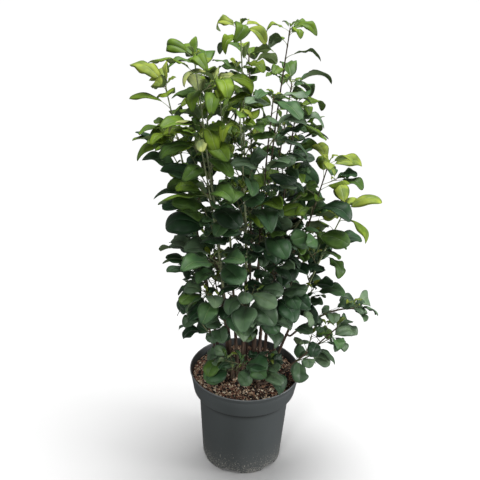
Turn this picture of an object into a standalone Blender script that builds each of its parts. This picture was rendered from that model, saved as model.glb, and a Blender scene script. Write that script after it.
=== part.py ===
"""Serviceberry shrub in a round nursery pot, as closed solids.

Metres, +Z up, -Y is the front. The origin is the middle of the pot's underside.
Thin canes rise from the soil and fan out. Each cane ends where it enters the leafy shoot at its tip, and
carries leafy side shoots lower down. One seeded rule grows every shoot: a stem, its twigs and its leaves.
"""

import math
import random
from collections import namedtuple

import bmesh
import bpy
import numpy as np
from mathutils import Vector
from mathutils.bvhtree import BVHTree

# Pot and soil
POT_HEIGHT = 0.225
RIM_RADIUS = 0.120
BAND_HEIGHT = 0.050
BAND_FOOT_RADIUS = 0.111
LEDGE_DROP = 0.004
BODY_TOP_RADIUS = 0.099
FOOT_RADIUS = 0.0873
FOOT_ROUND = 0.003
WALL = 0.0022
POT_SIDES = 44
SOIL_SIDES = 24
DRAIN_SLOTS = 6
DRAIN_WIDTH = 0.042
DRAIN_HEIGHT = 0.008
DRAIN_DEPTH = 0.014
DRAIN_TURN = math.radians(-104.0)
SOIL_TOP = 0.212
SOIL_FLAT_RADIUS = 0.066
SOIL_EDGE_DROP = 0.004
GAP = 0.0003

# The crown's middle line
CROWN_TOP = 1.000
CROWN_FOOT = (0.005, 0.000, SOIL_TOP)
CROWN_HEAD = (-0.040, 0.030, CROWN_TOP)

# Limbs
CANE_STEPS = 6
CANE_SIDES = 6
FOOT_FLARE = 1.55
FLARE_HEIGHT = 0.012
CANE_END_RADIUS = 0.0019
CANE_BULGE = 0.006
CANE_KINK = 0.0016
STEM_RADIUS = 0.0019
TWIG_RADIUS = 0.0015
LEADER_STEP = 0.070
STEM_STEP = 0.022
STEM_WANDER = 0.10
FIRST_TURN = 0.25
STEEP = 0.35
TWIG_SPREAD = (0.75, 1.05)
TWIG_WANDER = 0.4
TWIG_RISE = (0.70, 1.00)
TWIG_RANGE = (0.85, 1.15)
FEWEST_STEPS = 3
TUBE_UNIT = 0.001
FACET_SHARE = 0.97
TUBE_MARGIN = 1.4
TUBE_TURNS = (0.0, math.tau / 3, math.tau * 2 / 3)
ASIDE = (0.3, 0.5, 0.1)
CLEAR_SAMPLES = 12

# Leaves
LEAF_LENGTH = 0.068
LEAF_WIDTH = 0.66
PETIOLE_LENGTH = 0.019
PETIOLE_RADIUS = 0.0006
LEAF_KEEL = 0.0014
LEAF_LIFT = 0.0002
WIDEST_SHARE = 0.36
TIP_SHARE = 0.90
TIP_WIDTH = 0.48
SMALL_LEAF_ROUNDNESS = 0.35
ROUNDER_BELOW = 0.95
LENGTH_RANGE = (0.78, 1.16)
WIDTH_RANGE = (0.92, 1.12)
PETIOLE_LEAST = 0.45
PETIOLE_RANGE = (0.85, 1.20)
UPRIGHT = 0.5
STEM_LEAF_RISE = (38, 58)
TWIG_LEAF_SPREAD = (32, 66)
TWIG_LEAF_RISE = (10, 35)
STRAIGHT = 1e-4
LIFT_FROM = 0.30
LIFT_TO = 0.90
LIFT_BEND = 1.5
LOW_LIFT = math.radians(2.0)
HIGH_LIFT = math.radians(20.0)
LOW_TILT = math.radians(24.0)
HIGH_TILT = math.radians(14.0)
LIFT_WANDER = 22.0
LEAF_ARCH = (14.0, 64.0)
LOW_SIZE = 0.80
SPARSE_BELOW = 0.37
SPARSE_RADIUS = 0.11
SPARSE_SHARE = 0.45
FULL_SIZE_FROM = 0.46
ROLL_WANDER = 26.0
OUTWARD_PULL = 0.30
LEADER_TWIGS = ((0.10, 0.24), (0.31, 0.24), (0.53, 0.20), (0.74, 0.15), (0.20, 0.20))
LEADER_SIZES = (1.08, 0.94)
SIDE_TWIGS = ((0.30, 0.050), (0.58, 0.045))
SIDE_SPACING = 0.0265
SIDE_SIZES = (1.08, 0.92)
STEM_FIRST = 0.05
TWIG_FIRST = 0.22
GOLDEN_ANGLE = math.radians(137.5)
SPIRAL_WANDER = 0.2
CLEARANCE = 0.0008
LEAF_TRIES = 18
TRY_SWING = 0.33
TRY_SHRINK = 0.020
RIM_CLEARANCE = 0.004
SOIL_CLEARANCE = 0.006
RIM_REACH = 0.020
OWN_SHARE = 0.25
SPACE_SLACK = 0.022
LEAF_CROWDING = 1.5
TIP_INSET = 0.0015
TUFT_STEP = 0.0035
SIDE_SWINGS = (0, 18, -18, 36, -36, 60, -60)
SIDE_MARGIN = 0.005
TWIG_MARGIN = 0.003
TWIG_TRIES = 4
ROOT_STRETCH = 0.013
SHORTEST_TWIG = 0.045

Cane = namedtuple("Cane", "name foot tip leafy radius bow size tone twigs spacing")
Side = namedtuple("Side", "cane height compass length rise tone")
Axis = namedtuple("Axis", "points radii")
Leaf = namedtuple("Leaf", "root heading lifts roll petiole length width")


class Mass:
    """One leafy shoot: its stem and twigs, and the leaves on them."""

    def __init__(self, name, tone, axes):
        self.name = name
        self.tone = tone
        self.axes = axes
        self.leaves = []


# Each cane: its foot on the soil (x, y), the tip of its leader (x, y, z), the height where its leafy
# leader starts, its radius above the flare, how far it bows to the side, the size of its leaves, their tone
# from 0 (deep green) to 1 (fresh yellow green), how many twigs its leader has, and the spacing of its leaves.
CANES = (
    Cane("left", (-0.034, -0.002), (-0.120, -0.020, 0.926), 0.55, 0.0042, 0.010, 1.02, 0.74, 5, 0.021),
    Cane("far_left", (-0.052, 0.012), (-0.175, 0.000, 0.862), 0.58, 0.0036, -0.006, 0.98, 0.80, 3, 0.025),
    Cane("front_left", (-0.026, -0.026), (-0.104, -0.085, 0.795), 0.46, 0.0040, 0.006, 1.05, 0.70, 4, 0.027),
    Cane("mid_left", (-0.016, -0.010), (-0.072, -0.046, 0.892), 0.51, 0.0040, -0.004, 1.12, 0.74, 5, 0.020),
    Cane("centre", (-0.006, 0.010), (-0.037, 0.020, 0.978), 0.49, 0.0050, -0.010, 0.90, 0.78, 3, 0.032),
    Cane("front", (-0.004, -0.040), (-0.030, -0.084, 0.840), 0.50, 0.0042, 0.008, 1.02, 0.62, 5, 0.023),
    Cane("front_right", (0.022, -0.030), (0.030, -0.066, 0.872), 0.47, 0.0042, -0.008, 1.00, 0.30, 5, 0.023),
    Cane("leader", (0.016, 0.006), (0.056, 0.030, 0.975), 0.50, 0.0050, 0.010, 0.78, 0.62, 2, 0.034),
    Cane("right", (0.040, 0.002), (0.078, 0.000, 0.842), 0.49, 0.0042, -0.006, 0.88, 0.45, 4, 0.026),
    Cane("far_right", (0.050, -0.020), (0.145, -0.018, 0.725), 0.46, 0.0038, 0.008, 0.86, 0.45, 3, 0.028),
    Cane("back_left", (-0.032, 0.034), (-0.110, 0.100, 0.880), 0.48, 0.0042, 0.010, 1.00, 0.60, 4, 0.028),
    Cane("back", (0.000, 0.044), (-0.020, 0.120, 0.890), 0.46, 0.0044, -0.008, 1.00, 0.60, 3, 0.029),
    Cane("back_right", (0.030, 0.034), (0.068, 0.105, 0.840), 0.47, 0.0042, 0.008, 0.95, 0.50, 3, 0.030),
    Cane("arching", (0.058, 0.012), (0.188, 0.004, 0.620), 0.43, 0.0034, -0.012, 0.90, 0.60, 2, 0.024),
    Cane("low_left", (-0.052, -0.014), (-0.096, -0.050, 0.420), 0.31, 0.0028, -0.008, 0.80, 0.20, 3, 0.025),
    Cane("low_right", (0.030, -0.054), (0.188, -0.038, 0.362), 0.28, 0.0028, -0.016, 0.84, 0.32, 3, 0.029),
)

# The long side branch that springs from the arching cane: its own limb, with a leafy end.
BOUGH_CANE = "arching"
BOUGH_HEIGHT = 0.315
BOUGH_MIDDLE = (0.165, -0.004, 0.395)
BOUGH_TIP = (0.230, -0.014, 0.398)
BOUGH_BEARING = math.radians(-8.0)
BOUGH_RADIUS = 0.0022
BOUGH_SQUARE = 0.006
BOUGH_BARE = 0.45
BOUGH_STEPS = 5
BOUGH_SAMPLES = 10
BOUGH_STEM_STEPS = 3
BOUGH_TONE = 0.30
BOUGH_TWIGS = ((0.10, 0.050),)
BOUGH_SPACING = 0.024
BOUGH_SIZES = (0.92, 0.80)

# Each leafy side shoot: its cane, the height where it springs, its compass bearing from +X towards +Y in
# degrees, its length, its rise above level in degrees, and its tone.
SIDES = (
    Side("far_left", 0.450, 300, 0.055, 60, 0.45),
    Side("far_left", 0.385, 110, 0.060, 55, 0.25),
    Side("left", 0.500, 255, 0.080, 60, 0.40),
    Side("front_left", 0.420, 235, 0.090, 65, 0.35),
    Side("front_left", 0.380, 260, 0.045, 50, 0.25),
    Side("centre", 0.440, 235, 0.110, 65, 0.20),
    Side("front", 0.430, 262, 0.100, 65, 0.30),
    Side("front", 0.385, 290, 0.050, 50, 0.20),
    Side("front", 0.262, 238, 0.042, 30, 0.40),
    Side("front_right", 0.410, 296, 0.090, 65, 0.15),
    Side("front_right", 0.370, 262, 0.045, 50, 0.20),
    Side("front_right", 0.256, 285, 0.045, 32, 0.36),
    Side("leader", 0.450, 330, 0.105, 65, 0.15),
    Side("leader", 0.370, 275, 0.060, 55, 0.10),
    Side("right", 0.465, 280, 0.080, 65, 0.10),
    Side("far_right", 0.395, 325, 0.055, 60, 0.20),
    Side("back_left", 0.440, 125, 0.090, 60, 0.35),
    Side("back_left", 0.360, 110, 0.070, 50, 0.25),
    Side("back", 0.430, 95, 0.100, 60, 0.35),
    Side("back", 0.350, 110, 0.080, 45, 0.25),
    Side("back_right", 0.430, 60, 0.090, 60, 0.30),
    Side("back_right", 0.350, 60, 0.080, 45, 0.25),
)


def direction(bearing, rise):
    """The unit vector at a compass bearing and a rise above level, both in radians."""
    level = math.cos(rise)
    return Vector((math.cos(bearing) * level, math.sin(bearing) * level, math.sin(rise)))


def crown_middle(height):
    """The crown's middle line, which leans a little to the left and back as it rises."""
    share = (height - SOIL_TOP) / (CROWN_TOP - SOIL_TOP)
    return Vector(CROWN_FOOT).lerp(Vector(CROWN_HEAD), share)


def cane_line(cane):
    """The whole middle line of a cane and its leader: a gentle bow from the soil, with small kinks."""
    rng = random.Random(cane.name)
    foot = Vector((*cane.foot, SOIL_TOP + GAP))
    tip = Vector(cane.tip)
    lean = tip - foot
    across = Vector((-lean.y, lean.x, 0.0)).normalized()
    outward = Vector((lean.x, lean.y, 0.0)).normalized()
    points = [foot, foot + Vector((0.0, 0.0, FLARE_HEIGHT))]
    for step in range(1, CANE_STEPS * 2 + 1):
        share = step / (CANE_STEPS * 2)
        point = foot.lerp(tip, share)
        swell = math.sin(math.pi * share)
        point += (across * cane.bow - outward * CANE_BULGE) * swell
        kink = CANE_KINK * swell
        point += across * rng.uniform(-kink, kink) + outward * rng.uniform(-kink, kink)
        points.append(point)
    return points


def pieces_of(points):
    """The length of each straight piece of a line."""
    return [(b - a).length for a, b in zip(points, points[1:])]


def point_at(points, share):
    """The point at a share of a line's length, with the line's direction there."""
    lengths = pieces_of(points)
    left = share * sum(lengths)
    for a, b, length in zip(points, points[1:], lengths):
        if left <= length:
            return a.lerp(b, left / length), (b - a).normalized()
        left -= length
    return points[-1].copy(), (points[-1] - points[-2]).normalized()


def share_at_height(points, height):
    """The share of a rising line's length at which it reaches a height."""
    lengths = pieces_of(points)
    passed = 0.0
    for a, b, length in zip(points, points[1:], lengths):
        if b.z >= height:
            return (passed + length * (height - a.z) / (b.z - a.z)) / sum(lengths)
        passed += length
    return 1.0


def cut_line(points, start, end, steps):
    """Evenly spaced points of a line between two shares of its length."""
    return [point_at(points, start + (end - start) * step / steps)[0] for step in range(steps + 1)]


def taper(start, end, steps):
    """Radii that run evenly from one to another."""
    return [start + (end - start) * step / steps for step in range(steps + 1)]


def cane_axis(cane, line):
    """The bare limb of a cane: flat foot on the soil, flare, and even taper to where its leader starts."""
    first = FLARE_HEIGHT / sum(pieces_of(line))
    points = [line[0]] + cut_line(line, first, share_at_height(line, cane.leafy), CANE_STEPS)
    return Axis(points, [cane.radius * FOOT_FLARE] + taper(cane.radius, CANE_END_RADIUS, CANE_STEPS))


def stem_axis(root, heading, length, end_rise, rng):
    """A leafy stem that leaves its limb square and turns up to end_rise radians above level."""
    steps = max(FEWEST_STEPS, round(length / STEM_STEP))
    bearing = math.atan2(heading.y, heading.x)
    start_rise = math.asin(max(-1.0, min(1.0, heading.z)))
    points = [root.copy()]
    for step in range(steps):
        share = step / (steps - 1)
        bearing += rng.uniform(-STEM_WANDER, STEM_WANDER)
        turn = min(1.0, FIRST_TURN + share)
        rise = start_rise + (end_rise - start_rise) * turn if step else start_rise
        points.append(points[-1] + direction(bearing, rise) * (length / steps))
    return Axis(points, taper(STEM_RADIUS, TWIG_RADIUS, steps))


def side_stem(crown, side, rng):
    """The stem of a side shoot, swung round its cane to the first bearing where nothing is in its way."""
    for swing in SIDE_SWINGS:
        bearing = math.radians(side.compass + swing)
        root, across = spring(side.cane, side.height, direction(bearing, 0.0))
        stem = stem_axis(root, across, side.length, math.radians(side.rise), rng)
        if crown.spaces.clear_of(stem, SIDE_MARGIN):
            return stem
    return stem


def twig_axis(stem, share, side, length, rng):
    """A twig on a stem: it leaves to one side and turns up towards the light."""
    root, along = point_at(stem.points, share)
    level = Vector((along.x, along.y, 0.0))
    if level.length < STEEP:
        bearing = side * GOLDEN_ANGLE + rng.uniform(-TWIG_WANDER, TWIG_WANDER)
    else:
        turn = 1.0 if side % 2 else -1.0
        bearing = math.atan2(along.y, along.x) + turn * rng.uniform(*TWIG_SPREAD)
    rise = rng.uniform(*TWIG_RISE)
    return Axis([root, root + direction(bearing, rise) * length], [TWIG_RADIUS] * 2)


class Spaces:
    """Every limb and twig as straight pieces, with the mass that each belongs to."""

    def __init__(self):
        self.starts = np.zeros((0, 3))
        self.runs = np.zeros((0, 3))
        self.radii = np.zeros(0)
        self.owners = np.zeros(0, int)

    def add(self, axis, owner):
        points = np.array([tuple(p) for p in axis.points])
        self.starts = np.vstack([self.starts, points[:-1]])
        self.runs = np.vstack([self.runs, points[1:] - points[:-1]])
        self.radii = np.append(self.radii, axis.radii[:-1])
        self.owners = np.append(self.owners, [owner] * (len(points) - 1))

    def distances(self, points):
        """From each point to the surface of each piece."""
        offset = points[:, None, :] - self.starts[None]
        share = (offset * self.runs).sum(-1) / (self.runs**2).sum(-1)
        near = offset - np.clip(share, 0.0, 1.0)[..., None] * self.runs
        return np.sqrt((near**2).sum(-1)) - self.radii

    def clear_of(self, axis, margin):
        """Whether an axis, apart from its first stretch, stays clear of everything that is there."""
        length = sum(pieces_of(axis.points))
        checked = cut_line(axis.points, ROOT_STRETCH / length, 1.0, CLEAR_SAMPLES)
        points = np.array([tuple(p) for p in checked])
        gaps = self.distances(points) - max(axis.radii)
        return bool((gaps > margin).all())

    def keeps_space(self, points, owner):
        """Whether each point lies nearer to the owner's own pieces than to any other mass's."""
        gaps = self.distances(points)
        own = gaps[:, self.owners == owner].min(1)
        others = gaps[:, (self.owners != owner) & (self.owners >= 0)].min(1)
        return bool((own < others + SPACE_SLACK).all())


def arc(start, end, length, run):
    """Level and upright travel after a run along an arc whose rise turns from start to end."""
    turn = end - start
    if abs(turn) < STRAIGHT:
        return run * math.cos(start), run * math.sin(start)
    rise = start + turn * run / length
    size = length / turn
    return size * (math.sin(rise) - math.sin(start)), size * (math.cos(start) - math.cos(rise))


def leaf_frame(leaf, along):
    """Point, forward, side and up vectors at a distance along a leaf: its stalk first, then its blade."""
    level = direction(leaf.heading, 0.0)
    root_lift, base_lift, tip_lift = leaf.lifts
    run = min(along, leaf.petiole)
    out, up = arc(root_lift, base_lift, leaf.petiole, run)
    lift = root_lift + (base_lift - root_lift) * run / leaf.petiole
    if along > leaf.petiole:
        run = along - leaf.petiole
        more_out, more_up = arc(base_lift, tip_lift, leaf.length, run)
        out, up = out + more_out, up + more_up
        lift = base_lift + (tip_lift - base_lift) * run / leaf.length
    point = leaf.root + level * out + Vector((0.0, 0.0, up))
    forward = direction(leaf.heading, lift)
    flat_side = Vector((-level.y, level.x, 0.0))
    flat_up = forward.cross(flat_side)
    turned = leaf.roll * min(1.0, along / leaf.petiole)
    side = flat_side * math.cos(turned) + flat_up * math.sin(turned)
    return point, forward, side, forward.cross(side)


def leaf_points(leaf, grow=0.0):
    """The faceted leaf's seven points: root edge in the twig, widest part with a keel, blunt tip."""
    _, _, side, up = leaf_frame(leaf, leaf.petiole)
    size = PETIOLE_RADIUS + grow
    points = [leaf.root + up * size, leaf.root - up * size]
    point, _, side, up = leaf_frame(leaf, leaf.petiole + leaf.length * WIDEST_SHARE)
    half = 0.5 * leaf.width + grow
    lift = up * (LEAF_LIFT + grow)
    points += [point + side * half + lift, point - side * half + lift, point - up * (LEAF_KEEL + grow)]
    point, _, side, up = leaf_frame(leaf, leaf.petiole + leaf.length * TIP_SHARE)
    half = 0.5 * leaf.width * TIP_WIDTH + grow
    points += [point + side * half, point - side * half]
    return points


LEAF_FACES = (
    (0, 2, 3), (1, 2, 0), (0, 3, 1), (1, 3, 4), (1, 4, 2),
    (2, 5, 6), (2, 6, 3), (3, 6, 4), (4, 6, 5), (4, 5, 2),
)


def tree_of(points, faces):
    """A tree for telling whether two bodies touch."""
    return BVHTree.FromPolygons([tuple(p) for p in points], faces)


def tube_tree(axis, grow):
    """A three-sided tube round an axis, for telling whether a leaf touches it."""
    points = []
    for index, point in enumerate(axis.points):
        ahead = axis.points[min(index + 1, len(axis.points) - 1)] - axis.points[max(index - 1, 0)]
        side = ahead.cross(Vector(ASIDE)).normalized()
        up = ahead.normalized().cross(side)
        size = TUBE_MARGIN * axis.radii[index] + grow
        for turn in TUBE_TURNS:
            points.append(point + (side * math.cos(turn) + up * math.sin(turn)) * size)
    faces = [(0, 1, 2), (len(points) - 3, len(points) - 2, len(points) - 1)]
    for start in range(0, len(points) - 3, 3):
        for i, j in ((0, 1), (1, 2), (2, 0)):
            faces.append((start + i, start + j, start + 3 + j, start + 3 + i))
    return tree_of(points, faces)


class Crown:
    """All limbs, twigs and leaves grown so far. A new leaf is kept only where nothing is in its way."""

    def __init__(self):
        self.spaces = Spaces()
        self.tubes = []
        self.leaves = []
        self.masses = []

    def add_axis(self, axis, owner):
        self.spaces.add(axis, owner)
        middle = sum(axis.points, Vector()) / len(axis.points)
        reach = max((p - middle).length for p in axis.points)
        self.tubes.append((tube_tree(axis, CLEARANCE), middle, reach, axis))

    def clear(self, leaf, own_axis, owner):
        """Whether a leaf keeps to its mass's space and touches no pot, soil, limb, twig or other leaf."""
        points = leaf_points(leaf, CLEARANCE)
        blade = np.array([tuple(p) for p in points[2:]])
        outer = [point.lerp(points[4], OWN_SHARE) for point in points[:2]] + points[2:]
        across = np.hypot(blade[:, 0], blade[:, 1])
        over_rim = across > RIM_RADIUS - RIM_REACH
        floor = np.where(over_rim, POT_HEIGHT + RIM_CLEARANCE, SOIL_TOP + SOIL_CLEARANCE)
        if (blade[:, 2] < floor).any():
            return None
        if not self.spaces.keeps_space(blade, owner):
            return None
        whole = tree_of(points, LEAF_FACES)
        blade_only = tree_of(outer, LEAF_FACES)
        middle = sum(points, Vector()) / len(points)
        reach = max((p - middle).length for p in points)
        for tree, centre, size, axis in self.tubes:
            if (centre - middle).length > size + reach + CLEARANCE:
                continue
            if (blade_only if axis is own_axis else whole).overlap(tree):
                return None
        for tree, centre, size in self.leaves:
            if (centre - middle).length < size + reach and whole.overlap(tree):
                return None
        return whole, middle, reach


def leaf_lift(height):
    """How far a blade points above level at its base: up at the crown's top, down near the pot."""
    share = max(0.0, min(1.0, (height - LIFT_FROM) / (LIFT_TO - LIFT_FROM)))
    return LOW_LIFT + (HIGH_LIFT - LOW_LIFT) * share**LIFT_BEND


def degrees_between(rng, low, high):
    return math.radians(rng.uniform(low, high))


def plan_leaf(root, along, turn, size, rng):
    """One leaf on a stem or twig: its bearing follows the spiral, its blade tilts to the light."""
    outward = root - crown_middle(root.z)
    outward.z = 0.0
    if math.hypot(along.x, along.y) < UPRIGHT:
        heading = turn + OUTWARD_PULL * math.sin(math.atan2(outward.y, outward.x) - turn)
        root_lift = degrees_between(rng, *STEM_LEAF_RISE)
    else:
        hand = 1.0 if math.sin(turn) > 0 else -1.0
        heading = math.atan2(along.y, along.x) + hand * degrees_between(rng, *TWIG_LEAF_SPREAD)
        root_lift = degrees_between(rng, *TWIG_LEAF_RISE)
    base_lift = leaf_lift(root.z) + degrees_between(rng, -LIFT_WANDER, LIFT_WANDER)
    tip_lift = base_lift - degrees_between(rng, *LEAF_ARCH)
    level_side = Vector((-math.sin(heading), math.cos(heading), 0.0))
    share = max(0.0, min(1.0, (root.z - LIFT_FROM) / (LIFT_TO - LIFT_FROM)))
    tilt = LOW_TILT + (HIGH_TILT - LOW_TILT) * share
    roll = degrees_between(rng, -ROLL_WANDER, ROLL_WANDER) - tilt * outward.normalized().dot(level_side)
    grown = max(0.0, min(1.0, (root.z - LIFT_FROM) / (FULL_SIZE_FROM - LIFT_FROM)))
    size *= LOW_SIZE + (1.0 - LOW_SIZE) * grown
    length = LEAF_LENGTH * size * rng.uniform(*LENGTH_RANGE)
    rounder = 1.0 + SMALL_LEAF_ROUNDNESS * max(0.0, ROUNDER_BELOW - size)
    width = length * LEAF_WIDTH * rounder * rng.uniform(*WIDTH_RANGE)
    stalk = PETIOLE_LEAST + (1.0 - PETIOLE_LEAST) * size
    petiole = PETIOLE_LENGTH * stalk * rng.uniform(*PETIOLE_RANGE)
    return Leaf(root, heading, (root_lift, base_lift, tip_lift), roll, petiole, length, width)


def try_leaf(crown, mass, owner, axis, share, turn, size, rng):
    """Puts a leaf on an axis, turned or made smaller until it fits, or leaves it out."""
    root, along = point_at(axis.points, share)
    for attempt in range(LEAF_TRIES):
        swing = (attempt + 1) // 2 * TRY_SWING * (1 if attempt % 2 else -1)
        shrink = 1.0 - TRY_SHRINK * attempt
        leaf = plan_leaf(root, along, turn + swing, size * shrink, rng)
        placed = crown.clear(leaf, axis, owner)
        if placed:
            crown.leaves.append(placed)
            mass.leaves.append(leaf)
            return True
    return False


def leaf_stem(crown, mass, axis, spacing, first, sizes, rng):
    """Leaves along an axis, closer towards its tip, with sizes from the first to the second."""
    owner = crown.masses.index(mass)
    length = sum(pieces_of(axis.points))
    last = 1.0 - TIP_INSET / length
    count = max(2, round(length * (last - first) / spacing))
    turn = rng.uniform(0.0, math.tau)
    places = []
    for index in range(count):
        places.append(last - (last - first) * (1.0 - index / (count - 1)) ** LEAF_CROWDING)
    places += [last - TUFT_STEP / length, last - 2.0 * TUFT_STEP / length]
    for index, share in enumerate(sorted(places)):
        place = point_at(axis.points, share)[0]
        low = place.z < SPARSE_BELOW and math.hypot(place.x, place.y) < SPARSE_RADIUS
        if low and rng.random() < SPARSE_SHARE:
            continue
        size = sizes[0] + (sizes[1] - sizes[0]) * index / len(places)
        turn += GOLDEN_ANGLE + rng.uniform(-SPIRAL_WANDER, SPIRAL_WANDER)
        try_leaf(crown, mass, owner, axis, share, turn, size, rng)


def add_mass(crown, name, tone, stem):
    """A mass with its stem. Its twigs and leaves follow once every stem is there."""
    mass = Mass(name, tone, [stem])
    crown.add_axis(stem, len(crown.masses))
    crown.masses.append(mass)
    return mass


def add_twigs(crown, mass, places, rng):
    """The twigs of a mass, at shares of its stem with their lengths, where they touch nothing."""
    owner = crown.masses.index(mass)
    for index, (share, length) in enumerate(places):
        for attempt in range(TWIG_TRIES):
            reach = length * rng.uniform(*TWIG_RANGE)
            twig = twig_axis(mass.axes[0], share, index + attempt, reach, rng)
            if crown.spaces.clear_of(twig, TWIG_MARGIN):
                mass.axes.append(twig)
                crown.add_axis(twig, owner)
                break


def spring(name, height, heading):
    """Where a side limb meets a cane at a height: just clear of its bark, and square to it."""
    axis = AXES[name]
    share = share_at_height(axis.points, height)
    point, along = point_at(axis.points, share)
    across = (heading - along * heading.dot(along)).normalized()
    return point + across * (limb_radius(axis, share) * FACET_SHARE + GAP), across


def bough_line():
    """The middle line of the long side branch of the arching cane."""
    middle, tip = Vector(BOUGH_MIDDLE), Vector(BOUGH_TIP)
    root, across = spring(BOUGH_CANE, BOUGH_HEIGHT, direction(BOUGH_BEARING, 0.0))
    square = root + across * BOUGH_SQUARE
    points = [root, square]
    for step in range(1, BOUGH_SAMPLES + 1):
        share = step / BOUGH_SAMPLES
        a, b = square.lerp(middle, share), middle.lerp(tip, share)
        points.append(a.lerp(b, share))
    return points


def limb_radius(axis, share):
    """The radius of a limb at a share of its length."""
    lengths = pieces_of(axis.points)
    left = share * sum(lengths)
    for index, length in enumerate(lengths):
        if left <= length:
            return axis.radii[index] + (axis.radii[index + 1] - axis.radii[index]) * left / length
        left -= length
    return axis.radii[-1]


LINES = {cane.name: cane_line(cane) for cane in CANES}
AXES = {cane.name: cane_axis(cane, LINES[cane.name]) for cane in CANES}


def grow_crown():
    """The whole plan: limbs first, then every stem and twig, then the leaves."""
    crown = Crown()
    limbs = {}
    for cane in CANES:
        limbs["cane_" + cane.name] = AXES[cane.name]
        crown.add_axis(AXES[cane.name], -1)
    branch = bough_line()
    branch_length = sum(pieces_of(branch))
    points = branch[:1] + cut_line(branch, BOUGH_SQUARE / branch_length, BOUGH_BARE, BOUGH_STEPS)
    radii = taper(BOUGH_RADIUS, STEM_RADIUS, BOUGH_STEPS)
    bough = Axis(points, radii[:1] + radii)
    limbs["bough_right"] = bough
    crown.add_axis(bough, -1)

    jobs = []
    for cane in CANES:
        line = LINES[cane.name]
        length = sum(pieces_of(line))
        start = share_at_height(line, cane.leafy) + GAP / length
        reach = (1.0 - start) * length
        steps = max(FEWEST_STEPS, round(reach / LEADER_STEP))
        stem = Axis(cut_line(line, start, 1.0, steps), taper(STEM_RADIUS, TWIG_RADIUS, steps))
        mass = add_mass(crown, "foliage_" + cane.name + "_top", cane.tone, stem)
        twigs = [(share, max(SHORTEST_TWIG, reach * part)) for share, part in LEADER_TWIGS[:cane.twigs]]
        sizes = [size * cane.size for size in LEADER_SIZES]
        jobs.append((mass, twigs, cane.spacing, sizes))
    points = cut_line(branch, BOUGH_BARE + GAP / branch_length, 1.0, BOUGH_STEM_STEPS)
    stem = Axis(points, [STEM_RADIUS] * len(points))
    mass = add_mass(crown, "foliage_bough_right", BOUGH_TONE, stem)
    jobs.append((mass, BOUGH_TWIGS, BOUGH_SPACING, BOUGH_SIZES))
    counts = {}
    for side in SIDES:
        counts[side.cane] = counts.get(side.cane, 0) + 1
        name = "foliage_" + side.cane + "_" + str(counts[side.cane])
        stem = side_stem(crown, side, random.Random(name))
        mass = add_mass(crown, name, side.tone, stem)
        jobs.append((mass, SIDE_TWIGS, SIDE_SPACING, SIDE_SIZES))

    for mass, twigs, _, _ in jobs:
        add_twigs(crown, mass, twigs, random.Random("twigs of " + mass.name))
    for mass, _, spacing, sizes in jobs:
        rng = random.Random("leaves of " + mass.name)
        leaf_stem(crown, mass, mass.axes[0], spacing, STEM_FIRST, sizes, rng)
        for twig in mass.axes[1:]:
            leaf_stem(crown, mass, twig, spacing, TWIG_FIRST, sizes, rng)
    return limbs, crown


def clear_scene():
    for obj in list(bpy.data.objects):
        bpy.data.objects.remove(obj, do_unlink=True)


def new_collection(name, parent=None):
    collection = bpy.data.collections.new(name)
    (parent or bpy.context.scene.collection).children.link(collection)
    return collection


def material(name, colour, roughness):
    made = bpy.data.materials.new(name)
    made.use_nodes = True
    shader = made.node_tree.nodes["Principled BSDF"]
    shader.inputs["Base Color"].default_value = (*colour, 1.0)
    shader.inputs["Roughness"].default_value = roughness
    shader.inputs["Metallic"].default_value = 0.0
    return made


def tube(name, axis, profile, collection):
    """A closed tube along an axis: a curve with a bevel and filled caps, turned into a mesh."""
    curve = bpy.data.curves.new(name, "CURVE")
    curve.dimensions = "3D"
    curve.use_fill_caps = True
    if profile:
        curve.bevel_mode = "OBJECT"
        curve.bevel_object = profile
    else:
        curve.bevel_depth = TUBE_UNIT
        curve.bevel_resolution = (CANE_SIDES - 4) // 2
    spline = curve.splines.new("POLY")
    spline.points.add(len(axis.points) - 1)
    for point, place, radius in zip(spline.points, axis.points, axis.radii):
        point.co = (*place, 1.0)
        point.radius = radius / TUBE_UNIT
    guide = bpy.data.objects.new(name + "_guide", curve)
    collection.objects.link(guide)
    bpy.context.view_layer.update()
    graph = bpy.context.evaluated_depsgraph_get()
    mesh = bpy.data.meshes.new_from_object(guide.evaluated_get(graph))
    bpy.data.objects.remove(guide, do_unlink=True)
    made = bmesh.new()
    made.from_mesh(mesh)
    bmesh.ops.remove_doubles(made, verts=made.verts, dist=1e-6)
    bmesh.ops.recalc_face_normals(made, faces=made.faces)
    made.to_mesh(mesh)
    made.free()
    mesh.name = name
    body = bpy.data.objects.new(name, mesh)
    collection.objects.link(body)
    return body


def triangle_profile(collection):
    """The three-sided section of the twigs."""
    curve = bpy.data.curves.new("twig_section", "CURVE")
    curve.dimensions = "2D"
    spline = curve.splines.new("POLY")
    spline.points.add(2)
    for index, point in enumerate(spline.points):
        turn = math.tau * index / 3
        point.co = (TUBE_UNIT * math.cos(turn), TUBE_UNIT * math.sin(turn), 0.0, 1.0)
    spline.use_cyclic_u = True
    profile = bpy.data.objects.new("twig_section", curve)
    profile.hide_render = True
    profile.display_type = "WIRE"
    collection.objects.link(profile)
    return profile


def leaf_body(name, leaf, collection):
    """A closed leaf: a loft from the edge of its root through its widest part to its blunt tip."""
    mesh = bpy.data.meshes.new(name)
    mesh.from_pydata([tuple(p) for p in leaf_points(leaf)], [], LEAF_FACES)
    made = bmesh.new()
    made.from_mesh(mesh)
    bmesh.ops.recalc_face_normals(made, faces=made.faces)
    made.to_mesh(mesh)
    made.free()
    body = bpy.data.objects.new(name, mesh)
    collection.objects.link(body)
    return body


def apply_modifiers(body):
    graph = bpy.context.evaluated_depsgraph_get()
    mesh = bpy.data.meshes.new_from_object(body.evaluated_get(graph))
    body.modifiers.clear()
    body.data = mesh


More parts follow.
